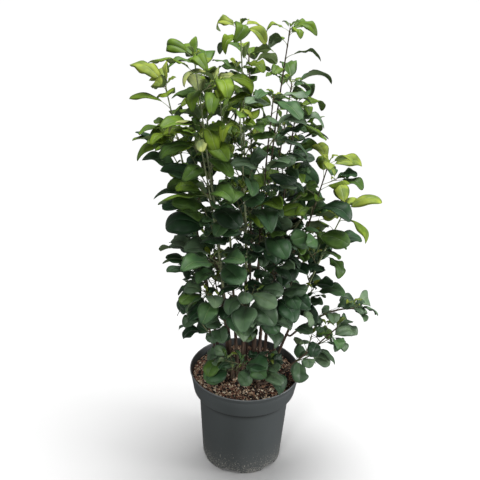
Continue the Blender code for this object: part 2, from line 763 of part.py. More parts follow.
def mass_body(mass, profile, plant, helpers):
    """One foliage node: its stem with every twig and leaf joined to it."""
    body = tube(mass.name, mass.axes[0], profile, plant)
    joined = new_collection(mass.name + "_parts", helpers)
    for index, axis in enumerate(mass.axes[1:]):
        tube(mass.name + "_twig" + str(index), axis, profile, joined)
    for index, leaf in enumerate(mass.leaves):
        leaf_body(mass.name + "_leaf" + str(index), leaf, joined)
    for piece in joined.objects:
        piece.display_type = "WIRE"
    union = body.modifiers.new("join", "BOOLEAN")
    union.operation = "UNION"
    union.operand_type = "COLLECTION"
    union.collection = joined
    union.solver = "EXACT"
    bpy.context.view_layer.update()
    apply_modifiers(body)
    for piece in list(joined.objects):
        bpy.data.objects.remove(piece, do_unlink=True)
    bpy.data.collections.remove(joined)
    return body


def turned(name, profile, sides, collection):
    """A body turned round the Z axis from its outline in the XZ plane."""
    mesh = bpy.data.meshes.new(name)
    points = [(x, 0.0, z) for x, z in profile]
    mesh.from_pydata(points, [(i, i + 1) for i in range(len(points) - 1)], [])
    body = bpy.data.objects.new(name, mesh)
    collection.objects.link(body)
    screw = body.modifiers.new("turn", "SCREW")
    screw.steps = sides
    screw.render_steps = sides
    screw.use_merge_vertices = True
    screw.merge_threshold = 0.00001
    bpy.context.view_layer.update()
    apply_modifiers(body)
    return body


def body_radius(height):
    """The pot body's outer radius at a height below the band."""
    top = POT_HEIGHT - BAND_HEIGHT - LEDGE_DROP
    return FOOT_RADIUS + (BODY_TOP_RADIUS - FOOT_RADIUS) * height / top


def pot_body(plant, helpers):
    """The pot: a plain tapering body, a ledge, a deep rim band, and slots cut in its foot for draining."""
    band_foot = POT_HEIGHT - BAND_HEIGHT
    ledge = band_foot - LEDGE_DROP
    inner_floor = DRAIN_HEIGHT + WALL
    profile = [
        (0.0, inner_floor),
        (body_radius(inner_floor) - WALL, inner_floor),
        (body_radius(ledge) - WALL, ledge + WALL),
        (BAND_FOOT_RADIUS - WALL, band_foot + WALL),
        (RIM_RADIUS - WALL, POT_HEIGHT),
        (RIM_RADIUS, POT_HEIGHT),
        (BAND_FOOT_RADIUS, band_foot),
        (BAND_FOOT_RADIUS - 0.5 * WALL, band_foot),
        (body_radius(ledge), ledge),
        (body_radius(FOOT_ROUND), FOOT_ROUND),
        (FOOT_RADIUS - 0.4 * FOOT_ROUND, 0.0),
        (0.0, 0.0),
    ]
    pot = turned("pot", profile, POT_SIDES, plant)
    cutters = new_collection("pot_slots", helpers)
    for index in range(DRAIN_SLOTS):
        turn = DRAIN_TURN + math.tau * index / DRAIN_SLOTS
        bpy.ops.mesh.primitive_cube_add(size=1.0)
        cutter = bpy.context.object
        cutter.name = "slot" + str(index)
        cutter.scale = (2.0 * DRAIN_DEPTH, DRAIN_WIDTH, 2.0 * DRAIN_HEIGHT)
        cutter.location = (math.cos(turn) * FOOT_RADIUS, math.sin(turn) * FOOT_RADIUS, 0.0)
        cutter.rotation_euler = (0.0, 0.0, turn)
        cutter.hide_render = True
        cutter.display_type = "WIRE"
        for owner in list(cutter.users_collection):
            owner.objects.unlink(cutter)
        cutters.objects.link(cutter)
    cut = pot.modifiers.new("slots", "BOOLEAN")
    cut.operation = "DIFFERENCE"
    cut.operand_type = "COLLECTION"
    cut.collection = cutters
    cut.solver = "EXACT"
    bpy.context.view_layer.update()
    apply_modifiers(pot)
    for piece in list(cutters.objects):
        bpy.data.objects.remove(piece, do_unlink=True)
    bpy.data.collections.remove(cutters)
    return pot


def soil_body(plant):
    """The potting mix: it fills the pot, flat where the canes stand and falling a little to the wall."""
    inner_floor = DRAIN_HEIGHT + WALL
    ledge = POT_HEIGHT - BAND_HEIGHT - LEDGE_DROP
    band_foot = POT_HEIGHT - BAND_HEIGHT
    edge = SOIL_TOP - SOIL_EDGE_DROP
    share = (edge - band_foot) / BAND_HEIGHT
    wall = BAND_FOOT_RADIUS + (RIM_RADIUS - BAND_FOOT_RADIUS) * share - WALL
    profile = [
        (0.0, SOIL_TOP),
        (SOIL_FLAT_RADIUS, SOIL_TOP),
        (wall - GAP * 2, edge),
        (BAND_FOOT_RADIUS - WALL - GAP * 2, band_foot + WALL + GAP),
        (body_radius(ledge) - WALL - GAP * 2, ledge + WALL + GAP),
        (body_radius(inner_floor) - WALL - GAP * 2, inner_floor + GAP),
        (0.0, inner_floor + GAP),
    ]
    return turned("potting_mix", profile, SOIL_SIDES, plant)


def shade(body, smooth):
    for polygon in body.data.polygons:
        polygon.use_smooth = smooth


def main():
    clear_scene()
    plant = new_collection("serviceberry_shrub")
    helpers = new_collection("helpers")
    helpers.hide_render = True
    plastic = material("pot plastic", (0.060, 0.068, 0.070), 0.55)
    mix = material("potting mix", (0.060, 0.036, 0.024), 0.95)
    bark = material("cane bark", (0.090, 0.055, 0.040), 0.75)
    leafy = [
        material("leaf deep", (0.035, 0.085, 0.040), 0.45),
        material("leaf mid", (0.080, 0.180, 0.040), 0.45),
        material("leaf fresh", (0.190, 0.330, 0.055), 0.45),
    ]
    pot = pot_body(plant, helpers)
    pot.data.materials.append(plastic)
    soil = soil_body(plant)
    soil.data.materials.append(mix)
    for body in (pot, soil):
        shade(body, True)
    limbs, crown = grow_crown()
    for name, axis in limbs.items():
        limb = tube(name, axis, None, plant)
        limb.data.materials.append(bark)
        shade(limb, True)
    profile = triangle_profile(helpers)
    for mass in crown.masses:
        body = mass_body(mass, profile, plant, helpers)
        body.data.materials.clear()
        body.data.materials.append(leafy[min(2, int(mass.tone * 3))])
    bpy.data.objects.remove(profile, do_unlink=True)
    bpy.data.collections.remove(helpers)
    print("leaves", sum(len(mass.leaves) for mass in crown.masses))


main()
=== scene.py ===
"""Serviceberry shrub in a round nursery pot: its looks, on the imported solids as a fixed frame.

Metres, +Z up, -Y is the front. The crown grows by the same seeded rule as the solids: the same limbs, stems,
twigs and leaves, rooted in the same places. The leaves are then turned and sized as the photo shows them, and
finer twigs with small leaves are added within the same reach.
"""

import math
import random
from collections import namedtuple

import bmesh
import bpy
import numpy as np
from mathutils import Matrix, Vector, noise
from mathutils.bvhtree import BVHTree


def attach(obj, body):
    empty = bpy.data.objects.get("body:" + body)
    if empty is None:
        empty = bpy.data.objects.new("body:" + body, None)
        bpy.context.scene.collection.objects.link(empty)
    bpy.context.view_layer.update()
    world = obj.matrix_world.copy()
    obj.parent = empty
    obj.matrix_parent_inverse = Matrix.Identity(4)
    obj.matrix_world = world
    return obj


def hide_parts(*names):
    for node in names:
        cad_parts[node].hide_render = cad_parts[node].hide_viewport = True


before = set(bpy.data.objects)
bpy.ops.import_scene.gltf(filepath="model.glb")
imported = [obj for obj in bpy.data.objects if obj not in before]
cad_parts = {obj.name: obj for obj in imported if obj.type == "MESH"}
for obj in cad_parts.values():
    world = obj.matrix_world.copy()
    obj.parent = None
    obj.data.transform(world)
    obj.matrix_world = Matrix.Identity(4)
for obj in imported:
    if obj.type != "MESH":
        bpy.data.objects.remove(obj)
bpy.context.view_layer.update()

# Pot and soil
POT_HEIGHT = 0.225
RIM_RADIUS = 0.120
BAND_HEIGHT = 0.050
BAND_FOOT_RADIUS = 0.111
LEDGE_DROP = 0.004
BODY_TOP_RADIUS = 0.099
FOOT_RADIUS = 0.0873
WALL = 0.0022
DRAIN_SLOTS = 6
DRAIN_WIDTH = 0.042
DRAIN_HEIGHT = 0.008
DRAIN_DEPTH = 0.014
DRAIN_TURN = math.radians(-104.0)
SOIL_TOP = 0.212
SOIL_FLAT_RADIUS = 0.066
SOIL_EDGE_DROP = 0.004
GAP = 0.0003

# The crown's middle line
CROWN_TOP = 1.000
CROWN_FOOT = (0.005, 0.000, SOIL_TOP)
CROWN_HEAD = (-0.040, 0.030, CROWN_TOP)

# Limbs
CANE_STEPS = 6
FOOT_FLARE = 1.55
FLARE_HEIGHT = 0.012
CANE_END_RADIUS = 0.0019
CANE_BULGE = 0.006
CANE_KINK = 0.0016
STEM_RADIUS = 0.0019
TWIG_RADIUS = 0.0015
LEADER_STEP = 0.070
STEM_STEP = 0.022
STEM_WANDER = 0.10
FIRST_TURN = 0.25
STEEP = 0.35
TWIG_SPREAD = (0.75, 1.05)
TWIG_WANDER = 0.4
TWIG_RISE = (0.70, 1.00)
TWIG_RANGE = (0.85, 1.15)
FEWEST_STEPS = 3
FACET_SHARE = 0.97
TUBE_MARGIN = 1.4
TUBE_TURNS = (0.0, math.tau / 3, math.tau * 2 / 3)
ASIDE = (0.3, 0.5, 0.1)
CLEAR_SAMPLES = 12

# Leaves
LEAF_LENGTH = 0.068
LEAF_WIDTH = 0.66
PETIOLE_LENGTH = 0.019
PETIOLE_RADIUS = 0.0006
LEAF_KEEL = 0.0014
LEAF_LIFT = 0.0002
WIDEST_SHARE = 0.36
TIP_SHARE = 0.90
TIP_WIDTH = 0.48
SMALL_LEAF_ROUNDNESS = 0.35
ROUNDER_BELOW = 0.95
LENGTH_RANGE = (0.78, 1.16)
WIDTH_RANGE = (0.92, 1.12)
PETIOLE_LEAST = 0.45
PETIOLE_RANGE = (0.85, 1.20)
UPRIGHT = 0.5
STEM_LEAF_RISE = (38, 58)
TWIG_LEAF_SPREAD = (32, 66)
TWIG_LEAF_RISE = (10, 35)
STRAIGHT = 1e-4
LIFT_FROM = 0.30
LIFT_TO = 0.90
LIFT_BEND = 1.5
LOW_LIFT = math.radians(2.0)
HIGH_LIFT = math.radians(20.0)
LOW_TILT = math.radians(24.0)
HIGH_TILT = math.radians(14.0)
LIFT_WANDER = 22.0
LEAF_ARCH = (14.0, 64.0)
LOW_SIZE = 0.80
SPARSE_BELOW = 0.37
SPARSE_RADIUS = 0.11
SPARSE_SHARE = 0.45
FULL_SIZE_FROM = 0.46
ROLL_WANDER = 26.0
OUTWARD_PULL = 0.30
LEADER_TWIGS = ((0.10, 0.24), (0.31, 0.24), (0.53, 0.20), (0.74, 0.15), (0.20, 0.20))
LEADER_SIZES = (1.08, 0.94)
SIDE_TWIGS = ((0.30, 0.050), (0.58, 0.045))
SIDE_SPACING = 0.0265
SIDE_SIZES = (1.08, 0.92)
STEM_FIRST = 0.05
TWIG_FIRST = 0.22
GOLDEN_ANGLE = math.radians(137.5)
SPIRAL_WANDER = 0.2
CLEARANCE = 0.0008
LEAF_TRIES = 18
TRY_SWING = 0.33
TRY_SHRINK = 0.020
RIM_CLEARANCE = 0.004
SOIL_CLEARANCE = 0.006
RIM_REACH = 0.020
OWN_SHARE = 0.25
SPACE_SLACK = 0.022
LEAF_CROWDING = 1.5
TIP_INSET = 0.0015
TUFT_STEP = 0.0035
SIDE_SWINGS = (0, 18, -18, 36, -36, 60, -60)
SIDE_MARGIN = 0.005
TWIG_MARGIN = 0.003
TWIG_TRIES = 4
ROOT_STRETCH = 0.013
SHORTEST_TWIG = 0.045

Cane = namedtuple("Cane", "name foot tip leafy radius bow size tone twigs spacing")
Side = namedtuple("Side", "cane height compass length rise tone")
Axis = namedtuple("Axis", "points radii")
Leaf = namedtuple("Leaf", "root heading lifts roll petiole length width")


class Mass:
    """One leafy shoot: its stem and twigs, its leaves, and the axis and share where each leaf is rooted."""

    def __init__(self, name, tone, axes):
        self.name = name
        self.tone = tone
        self.axes = axes
        self.leaves = []
        self.roots = []


# Each cane: its foot on the soil (x, y), the tip of its leader (x, y, z), the height where its leafy
# leader starts, its radius above the flare, how far it bows to the side, the size of its leaves, their tone
# from 0 (deep green) to 1 (fresh yellow green), how many twigs its leader has, and the spacing of its leaves.
CANES = (
    Cane("left", (-0.034, -0.002), (-0.120, -0.020, 0.926), 0.55, 0.0042, 0.010, 1.02, 0.74, 5, 0.021),
    Cane("far_left", (-0.052, 0.012), (-0.175, 0.000, 0.862), 0.58, 0.0036, -0.006, 0.98, 0.80, 3, 0.025),
    Cane("front_left", (-0.026, -0.026), (-0.104, -0.085, 0.795), 0.46, 0.0040, 0.006, 1.05, 0.70, 4, 0.027),
    Cane("mid_left", (-0.016, -0.010), (-0.072, -0.046, 0.892), 0.51, 0.0040, -0.004, 1.12, 0.74, 5, 0.020),
    Cane("centre", (-0.006, 0.010), (-0.037, 0.020, 0.978), 0.49, 0.0050, -0.010, 0.90, 0.78, 3, 0.032),
    Cane("front", (-0.004, -0.040), (-0.030, -0.084, 0.840), 0.50, 0.0042, 0.008, 1.02, 0.62, 5, 0.023),
    Cane("front_right", (0.022, -0.030), (0.030, -0.066, 0.872), 0.47, 0.0042, -0.008, 1.00, 0.30, 5, 0.023),
    Cane("leader", (0.016, 0.006), (0.056, 0.030, 0.975), 0.50, 0.0050, 0.010, 0.78, 0.62, 2, 0.034),
    Cane("right", (0.040, 0.002), (0.078, 0.000, 0.842), 0.49, 0.0042, -0.006, 0.88, 0.45, 4, 0.026),
    Cane("far_right", (0.050, -0.020), (0.145, -0.018, 0.725), 0.46, 0.0038, 0.008, 0.86, 0.45, 3, 0.028),
    Cane("back_left", (-0.032, 0.034), (-0.110, 0.100, 0.880), 0.48, 0.0042, 0.010, 1.00, 0.60, 4, 0.028),
    Cane("back", (0.000, 0.044), (-0.020, 0.120, 0.890), 0.46, 0.0044, -0.008, 1.00, 0.60, 3, 0.029),
    Cane("back_right", (0.030, 0.034), (0.068, 0.105, 0.840), 0.47, 0.0042, 0.008, 0.95, 0.50, 3, 0.030),
    Cane("arching", (0.058, 0.012), (0.188, 0.004, 0.620), 0.43, 0.0034, -0.012, 0.90, 0.60, 2, 0.024),
    Cane("low_left", (-0.052, -0.014), (-0.096, -0.050, 0.420), 0.31, 0.0028, -0.008, 0.80, 0.20, 3, 0.025),
    Cane("low_right", (0.030, -0.054), (0.188, -0.038, 0.362), 0.28, 0.0028, -0.016, 0.84, 0.32, 3, 0.029),
)

# The long side branch that springs from the arching cane: its own limb, with a leafy end.
BOUGH_CANE = "arching"
BOUGH_HEIGHT = 0.315
BOUGH_MIDDLE = (0.165, -0.004, 0.395)
BOUGH_TIP = (0.230, -0.014, 0.398)
BOUGH_BEARING = math.radians(-8.0)
BOUGH_RADIUS = 0.0022
BOUGH_SQUARE = 0.006
BOUGH_BARE = 0.45
BOUGH_STEPS = 5
BOUGH_SAMPLES = 10
BOUGH_STEM_STEPS = 3
BOUGH_TONE = 0.30
BOUGH_TWIGS = ((0.10, 0.050),)
BOUGH_SPACING = 0.024
BOUGH_SIZES = (0.92, 0.80)

# Each leafy side shoot: its cane, the height where it springs, its compass bearing from +X towards +Y in
# degrees, its length, its rise above level in degrees, and its tone.
SIDES = (
    Side("far_left", 0.450, 300, 0.055, 60, 0.45),
    Side("far_left", 0.385, 110, 0.060, 55, 0.25),
    Side("left", 0.500, 255, 0.080, 60, 0.40),
    Side("front_left", 0.420, 235, 0.090, 65, 0.35),
    Side("front_left", 0.380, 260, 0.045, 50, 0.25),
    Side("centre", 0.440, 235, 0.110, 65, 0.20),
    Side("front", 0.430, 262, 0.100, 65, 0.30),
    Side("front", 0.385, 290, 0.050, 50, 0.20),
    Side("front", 0.262, 238, 0.042, 30, 0.40),
    Side("front_right", 0.410, 296, 0.090, 65, 0.15),
    Side("front_right", 0.370, 262, 0.045, 50, 0.20),
    Side("front_right", 0.256, 285, 0.045, 32, 0.36),
    Side("leader", 0.450, 330, 0.105, 65, 0.15),
    Side("leader", 0.370, 275, 0.060, 55, 0.10),
    Side("right", 0.465, 280, 0.080, 65, 0.10),
    Side("far_right", 0.395, 325, 0.055, 60, 0.20),
    Side("back_left", 0.440, 125, 0.090, 60, 0.35),
    Side("back_left", 0.360, 110, 0.070, 50, 0.25),
    Side("back", 0.430, 95, 0.100, 60, 0.35),
    Side("back", 0.350, 110, 0.080, 45, 0.25),
    Side("back_right", 0.430, 60, 0.090, 60, 0.30),
    Side("back_right", 0.350, 60, 0.080, 45, 0.25),
)


def between(ends, share):
    """The value at a share of the way from the first of two values to the second."""
    return ends[0] + (ends[1] - ends[0]) * share


def progress(value, start, full):
    """0 up to where a value starts, and 1 from where it is full."""
    return max(0.0, min(1.0, (value - start) / (full - start)))


def direction(bearing, rise):
    """The unit vector at a compass bearing and a rise above level, both in radians."""
    level = math.cos(rise)
    return Vector((math.cos(bearing) * level, math.sin(bearing) * level, math.sin(rise)))


def crown_middle(height):
    """The crown's middle line, which leans a little to the left and back as it rises."""
    share = (height - SOIL_TOP) / (CROWN_TOP - SOIL_TOP)
    return Vector(CROWN_FOOT).lerp(Vector(CROWN_HEAD), share)


def cane_line(cane):
    """The whole middle line of a cane and its leader: a gentle bow from the soil, with small kinks."""
    rng = random.Random(cane.name)
    foot = Vector((*cane.foot, SOIL_TOP + GAP))
    tip = Vector(cane.tip)
    lean = tip - foot
    across = Vector((-lean.y, lean.x, 0.0)).normalized()
    outward = Vector((lean.x, lean.y, 0.0)).normalized()
    points = [foot, foot + Vector((0.0, 0.0, FLARE_HEIGHT))]
    for step in range(1, CANE_STEPS * 2 + 1):
        share = step / (CANE_STEPS * 2)
        point = foot.lerp(tip, share)
        swell = math.sin(math.pi * share)
        point += (across * cane.bow - outward * CANE_BULGE) * swell
        kink = CANE_KINK * swell
        point += across * rng.uniform(-kink, kink) + outward * rng.uniform(-kink, kink)
        points.append(point)
    return points


def pieces_of(points):
    """The length of each straight piece of a line."""
    return [(b - a).length for a, b in zip(points, points[1:])]


def point_at(points, share):
    """The point at a share of a line's length, with the line's direction there."""
    lengths = pieces_of(points)
    left = share * sum(lengths)
    for a, b, length in zip(points, points[1:], lengths):
        if left <= length:
            return a.lerp(b, left / length), (b - a).normalized()
        left -= length
    return points[-1].copy(), (points[-1] - points[-2]).normalized()


def share_at_height(points, height):
    """The share of a rising line's length at which it reaches a height."""
    lengths = pieces_of(points)
    passed = 0.0
    for a, b, length in zip(points, points[1:], lengths):
        if b.z >= height:
            return (passed + length * (height - a.z) / (b.z - a.z)) / sum(lengths)
        passed += length
    return 1.0


def cut_line(points, start, end, steps):
    """Evenly spaced points of a line between two shares of its length."""
    return [point_at(points, start + (end - start) * step / steps)[0] for step in range(steps + 1)]


def taper(start, end, steps):
    """Radii that run evenly from one to another."""
    return [start + (end - start) * step / steps for step in range(steps + 1)]


def cane_axis(cane, line):
    """The bare limb of a cane: flat foot on the soil, flare, and even taper to where its leader starts."""
    first = FLARE_HEIGHT / sum(pieces_of(line))
    points = [line[0]] + cut_line(line, first, share_at_height(line, cane.leafy), CANE_STEPS)
    return Axis(points, [cane.radius * FOOT_FLARE] + taper(cane.radius, CANE_END_RADIUS, CANE_STEPS))


def stem_axis(root, heading, length, end_rise, rng):
    """A leafy stem that leaves its limb square and turns up to end_rise radians above level."""
    steps = max(FEWEST_STEPS, round(length / STEM_STEP))
    bearing = math.atan2(heading.y, heading.x)
    start_rise = math.asin(max(-1.0, min(1.0, heading.z)))
    points = [root.copy()]
    for step in range(steps):
        share = step / (steps - 1)
        bearing += rng.uniform(-STEM_WANDER, STEM_WANDER)
        turn = min(1.0, FIRST_TURN + share)
        rise = start_rise + (end_rise - start_rise) * turn if step else start_rise
        points.append(points[-1] + direction(bearing, rise) * (length / steps))
    return Axis(points, taper(STEM_RADIUS, TWIG_RADIUS, steps))


def side_stem(crown, side, rng):
    """The stem of a side shoot, swung round its cane to the first bearing where nothing is in its way."""
    for swing in SIDE_SWINGS:
        bearing = math.radians(side.compass + swing)
        root, across = spring(side.cane, side.height, direction(bearing, 0.0))
        stem = stem_axis(root, across, side.length, math.radians(side.rise), rng)
        if crown.spaces.clear_of(stem, SIDE_MARGIN):
            return stem
    return stem


def twig_axis(stem, share, side, length, rng):
    """A twig on a stem: it leaves to one side and turns up towards the light."""
    root, along = point_at(stem.points, share)
    level = Vector((along.x, along.y, 0.0))
    if level.length < STEEP:
        bearing = side * GOLDEN_ANGLE + rng.uniform(-TWIG_WANDER, TWIG_WANDER)
    else:
        turn = 1.0 if side % 2 else -1.0
        bearing = math.atan2(along.y, along.x) + turn * rng.uniform(*TWIG_SPREAD)
    rise = rng.uniform(*TWIG_RISE)
    return Axis([root, root + direction(bearing, rise) * length], [TWIG_RADIUS] * 2)


class Spaces:
    """Every limb and twig as straight pieces, with the mass that each belongs to."""

    def __init__(self):
        self.starts = np.zeros((0, 3))
        self.runs = np.zeros((0, 3))
        self.radii = np.zeros(0)
        self.owners = np.zeros(0, int)

    def add(self, axis, owner):
        """Takes the straight pieces of an axis."""
        points = np.array([tuple(p) for p in axis.points])
        self.starts = np.vstack([self.starts, points[:-1]])
        self.runs = np.vstack([self.runs, points[1:] - points[:-1]])
        self.radii = np.append(self.radii, axis.radii[:-1])
        self.owners = np.append(self.owners, [owner] * (len(points) - 1))

    def distances(self, points):
        """From each point to the surface of each piece."""
        offset = points[:, None, :] - self.starts[None]
        share = (offset * self.runs).sum(-1) / (self.runs**2).sum(-1)
        near = offset - np.clip(share, 0.0, 1.0)[..., None] * self.runs
        return np.sqrt((near**2).sum(-1)) - self.radii

    def clear_of(self, axis, margin):
        """Whether an axis, apart from its first stretch, stays clear of everything that is there."""
        length = sum(pieces_of(axis.points))
        checked = cut_line(axis.points, ROOT_STRETCH / length, 1.0, CLEAR_SAMPLES)
        points = np.array([tuple(p) for p in checked])
        gaps = self.distances(points) - max(axis.radii)
        return bool((gaps > margin).all())

    def keeps_space(self, points, owner):
        """Whether each point lies nearer to the owner's own pieces than to any other mass's."""
        gaps = self.distances(points)
        own = gaps[:, self.owners == owner].min(1)
        others = gaps[:, (self.owners != owner) & (self.owners >= 0)].min(1)
        return bool((own < others + SPACE_SLACK).all())


def arc(start, end, length, run):
    """Level and upright travel after a run along an arc whose rise turns from start to end."""
    turn = end - start
    if abs(turn) < STRAIGHT:
        return run * math.cos(start), run * math.sin(start)
    rise = start + turn * run / length
    size = length / turn
    return size * (math.sin(rise) - math.sin(start)), size * (math.cos(start) - math.cos(rise))


def leaf_frame(leaf, along):
    """Point, side and up vectors at a distance along a leaf: its stalk first, then its blade."""
    level = direction(leaf.heading, 0.0)
    root_lift, base_lift, tip_lift = leaf.lifts
    run = min(along, leaf.petiole)
    out, up = arc(root_lift, base_lift, leaf.petiole, run)
    lift = root_lift + (base_lift - root_lift) * run / leaf.petiole
    if along > leaf.petiole:
        run = along - leaf.petiole
        more_out, more_up = arc(base_lift, tip_lift, leaf.length, run)
        out, up = out + more_out, up + more_up
        lift = base_lift + (tip_lift - base_lift) * run / leaf.length
    point = leaf.root + level * out + Vector((0.0, 0.0, up))
    forward = direction(leaf.heading, lift)
    flat_side = Vector((-level.y, level.x, 0.0))
    flat_up = forward.cross(flat_side)
    turned = leaf.roll * min(1.0, along / leaf.petiole)
    side = flat_side * math.cos(turned) + flat_up * math.sin(turned)
    return point, side, forward.cross(side)


def leaf_points(leaf, grow):
    """The faceted leaf's seven points, moved out a little: root edge, widest part with a keel, blunt tip."""
    _, _, up = leaf_frame(leaf, leaf.petiole)
    size = PETIOLE_RADIUS + grow
    points = [leaf.root + up * size, leaf.root - up * size]
    point, side, up = leaf_frame(leaf, leaf.petiole + leaf.length * WIDEST_SHARE)
    half = 0.5 * leaf.width + grow
    lift = up * (LEAF_LIFT + grow)
    points += [point + side * half + lift, point - side * half + lift, point - up * (LEAF_KEEL + grow)]
    point, side, up = leaf_frame(leaf, leaf.petiole + leaf.length * TIP_SHARE)
    half = 0.5 * leaf.width * TIP_WIDTH + grow
    points += [point + side * half, point - side * half]
    return points


LEAF_FACES = (
    (0, 2, 3), (1, 2, 0), (0, 3, 1), (1, 3, 4), (1, 4, 2),
    (2, 5, 6), (2, 6, 3), (3, 6, 4), (4, 6, 5), (4, 5, 2),
)


def tree_of(points, faces):
    """A tree for telling whether two bodies touch."""
    return BVHTree.FromPolygons([tuple(p) for p in points], faces)


def tube_tree(axis):
    """A three-sided tube round an axis, for telling whether a leaf touches it."""
    points = []
    for index, point in enumerate(axis.points):
        ahead = axis.points[min(index + 1, len(axis.points) - 1)] - axis.points[max(index - 1, 0)]
        side = ahead.cross(Vector(ASIDE)).normalized()
        up = ahead.normalized().cross(side)
        size = TUBE_MARGIN * axis.radii[index] + CLEARANCE
        for turn in TUBE_TURNS:
            points.append(point + (side * math.cos(turn) + up * math.sin(turn)) * size)
    faces = [(0, 1, 2), (len(points) - 3, len(points) - 2, len(points) - 1)]
    for start in range(0, len(points) - 3, 3):
        for i, j in ((0, 1), (1, 2), (2, 0)):
            faces.append((start + i, start + j, start + 3 + j, start + 3 + i))
    return tree_of(points, faces)


class Crown:
    """All limbs, twigs and leaves grown so far. A new leaf is kept only where nothing is in its way."""

    def __init__(self):
        self.spaces = Spaces()
        self.tubes = []
        self.leaves = []
        self.masses = []

    def add_axis(self, axis, owner):
        """Takes a limb, stem or twig as a thing that new leaves keep clear of."""
        self.spaces.add(axis, owner)
        middle = sum(axis.points, Vector()) / len(axis.points)
        reach = max((p - middle).length for p in axis.points)
        self.tubes.append((tube_tree(axis), middle, reach, axis))

    def clear(self, leaf, own_axis, owner):
        """A leaf's tree, middle and reach, or None where it leaves its mass's space or meets something."""
        points = leaf_points(leaf, CLEARANCE)
        blade = np.array([tuple(p) for p in points[2:]])
        outer = [point.lerp(points[4], OWN_SHARE) for point in points[:2]] + points[2:]
        across = np.hypot(blade[:, 0], blade[:, 1])
        over_rim = across > RIM_RADIUS - RIM_REACH
        floor = np.where(over_rim, POT_HEIGHT + RIM_CLEARANCE, SOIL_TOP + SOIL_CLEARANCE)
        if (blade[:, 2] < floor).any():
            return None
        if not self.spaces.keeps_space(blade, owner):
            return None
        whole = tree_of(points, LEAF_FACES)
        blade_only = tree_of(outer, LEAF_FACES)
        middle = sum(points, Vector()) / len(points)
        reach = max((p - middle).length for p in points)
        for tree, centre, size, axis in self.tubes:
            if (centre - middle).length > size + reach + CLEARANCE:
                continue
            if (blade_only if axis is own_axis else whole).overlap(tree):
                return None
        for tree, centre, size in self.leaves:
            if (centre - middle).length < size + reach and whole.overlap(tree):
                return None
        return whole, middle, reach


def leaf_lift(height):
    """How far a blade points above level at its base: up at the crown's top, down near the pot."""
    return between((LOW_LIFT, HIGH_LIFT), progress(height, LIFT_FROM, LIFT_TO) ** LIFT_BEND)


def degrees_between(rng, low, high):
    """A random angle between two that are given in degrees."""
    return math.radians(rng.uniform(low, high))


def plan_leaf(root, along, turn, size, rng):
    """One leaf on a stem or twig: its bearing follows the spiral, its blade tilts to the light."""
    outward = root - crown_middle(root.z)
    outward.z = 0.0
    if math.hypot(along.x, along.y) < UPRIGHT:
        heading = turn + OUTWARD_PULL * math.sin(math.atan2(outward.y, outward.x) - turn)
        root_lift = degrees_between(rng, *STEM_LEAF_RISE)
    else:
        hand = 1.0 if math.sin(turn) > 0 else -1.0
        heading = math.atan2(along.y, along.x) + hand * degrees_between(rng, *TWIG_LEAF_SPREAD)
        root_lift = degrees_between(rng, *TWIG_LEAF_RISE)
    base_lift = leaf_lift(root.z) + degrees_between(rng, -LIFT_WANDER, LIFT_WANDER)
    tip_lift = base_lift - degrees_between(rng, *LEAF_ARCH)
    level_side = Vector((-math.sin(heading), math.cos(heading), 0.0))
    tilt = between((LOW_TILT, HIGH_TILT), progress(root.z, LIFT_FROM, LIFT_TO))
    roll = degrees_between(rng, -ROLL_WANDER, ROLL_WANDER) - tilt * outward.normalized().dot(level_side)
    size *= between((LOW_SIZE, 1.0), progress(root.z, LIFT_FROM, FULL_SIZE_FROM))
    length = LEAF_LENGTH * size * rng.uniform(*LENGTH_RANGE)
    rounder = 1.0 + SMALL_LEAF_ROUNDNESS * max(0.0, ROUNDER_BELOW - size)
    width = length * LEAF_WIDTH * rounder * rng.uniform(*WIDTH_RANGE)
    petiole = PETIOLE_LENGTH * between((PETIOLE_LEAST, 1.0), size) * rng.uniform(*PETIOLE_RANGE)
    return Leaf(root, heading, (root_lift, base_lift, tip_lift), roll, petiole, length, width)


def try_leaf(crown, mass, owner, axis, share, turn, size, rng):
    """Puts a leaf on an axis, turned or made smaller until it fits, and tells whether it did."""
    root, along = point_at(axis.points, share)
    for attempt in range(LEAF_TRIES):
        swing = (attempt + 1) // 2 * TRY_SWING * (1 if attempt % 2 else -1)
        shrink = 1.0 - TRY_SHRINK * attempt
        leaf = plan_leaf(root, along, turn + swing, size * shrink, rng)
        placed = crown.clear(leaf, axis, owner)
        if placed:
            crown.leaves.append(placed)
            mass.leaves.append(leaf)
            mass.roots.append((axis, share))
            return True
    return False


def leaf_stem(crown, mass, axis, spacing, first, sizes, rng):
    """Leaves along an axis, closer towards its tip, with sizes from the first to the second."""
    owner = crown.masses.index(mass)
    length = sum(pieces_of(axis.points))
    last = 1.0 - TIP_INSET / length
    count = max(2, round(length * (last - first) / spacing))
    turn = rng.uniform(0.0, math.tau)
    places = []
    for index in range(count):
        places.append(last - (last - first) * (1.0 - index / (count - 1)) ** LEAF_CROWDING)
    places += [last - TUFT_STEP / length, last - 2.0 * TUFT_STEP / length]
    for index, share in enumerate(sorted(places)):
        place = point_at(axis.points, share)[0]
        low = place.z < SPARSE_BELOW and math.hypot(place.x, place.y) < SPARSE_RADIUS
        if low and rng.random() < SPARSE_SHARE:
            continue
        size = sizes[0] + (sizes[1] - sizes[0]) * index / len(places)
        turn += GOLDEN_ANGLE + rng.uniform(-SPIRAL_WANDER, SPIRAL_WANDER)
        try_leaf(crown, mass, owner, axis, share, turn, size, rng)


def add_mass(crown, name, tone, stem):
    """A mass with its stem. Its twigs and leaves follow once every stem is there."""
    mass = Mass(name, tone, [stem])
    crown.add_axis(stem, len(crown.masses))
    crown.masses.append(mass)
    return mass


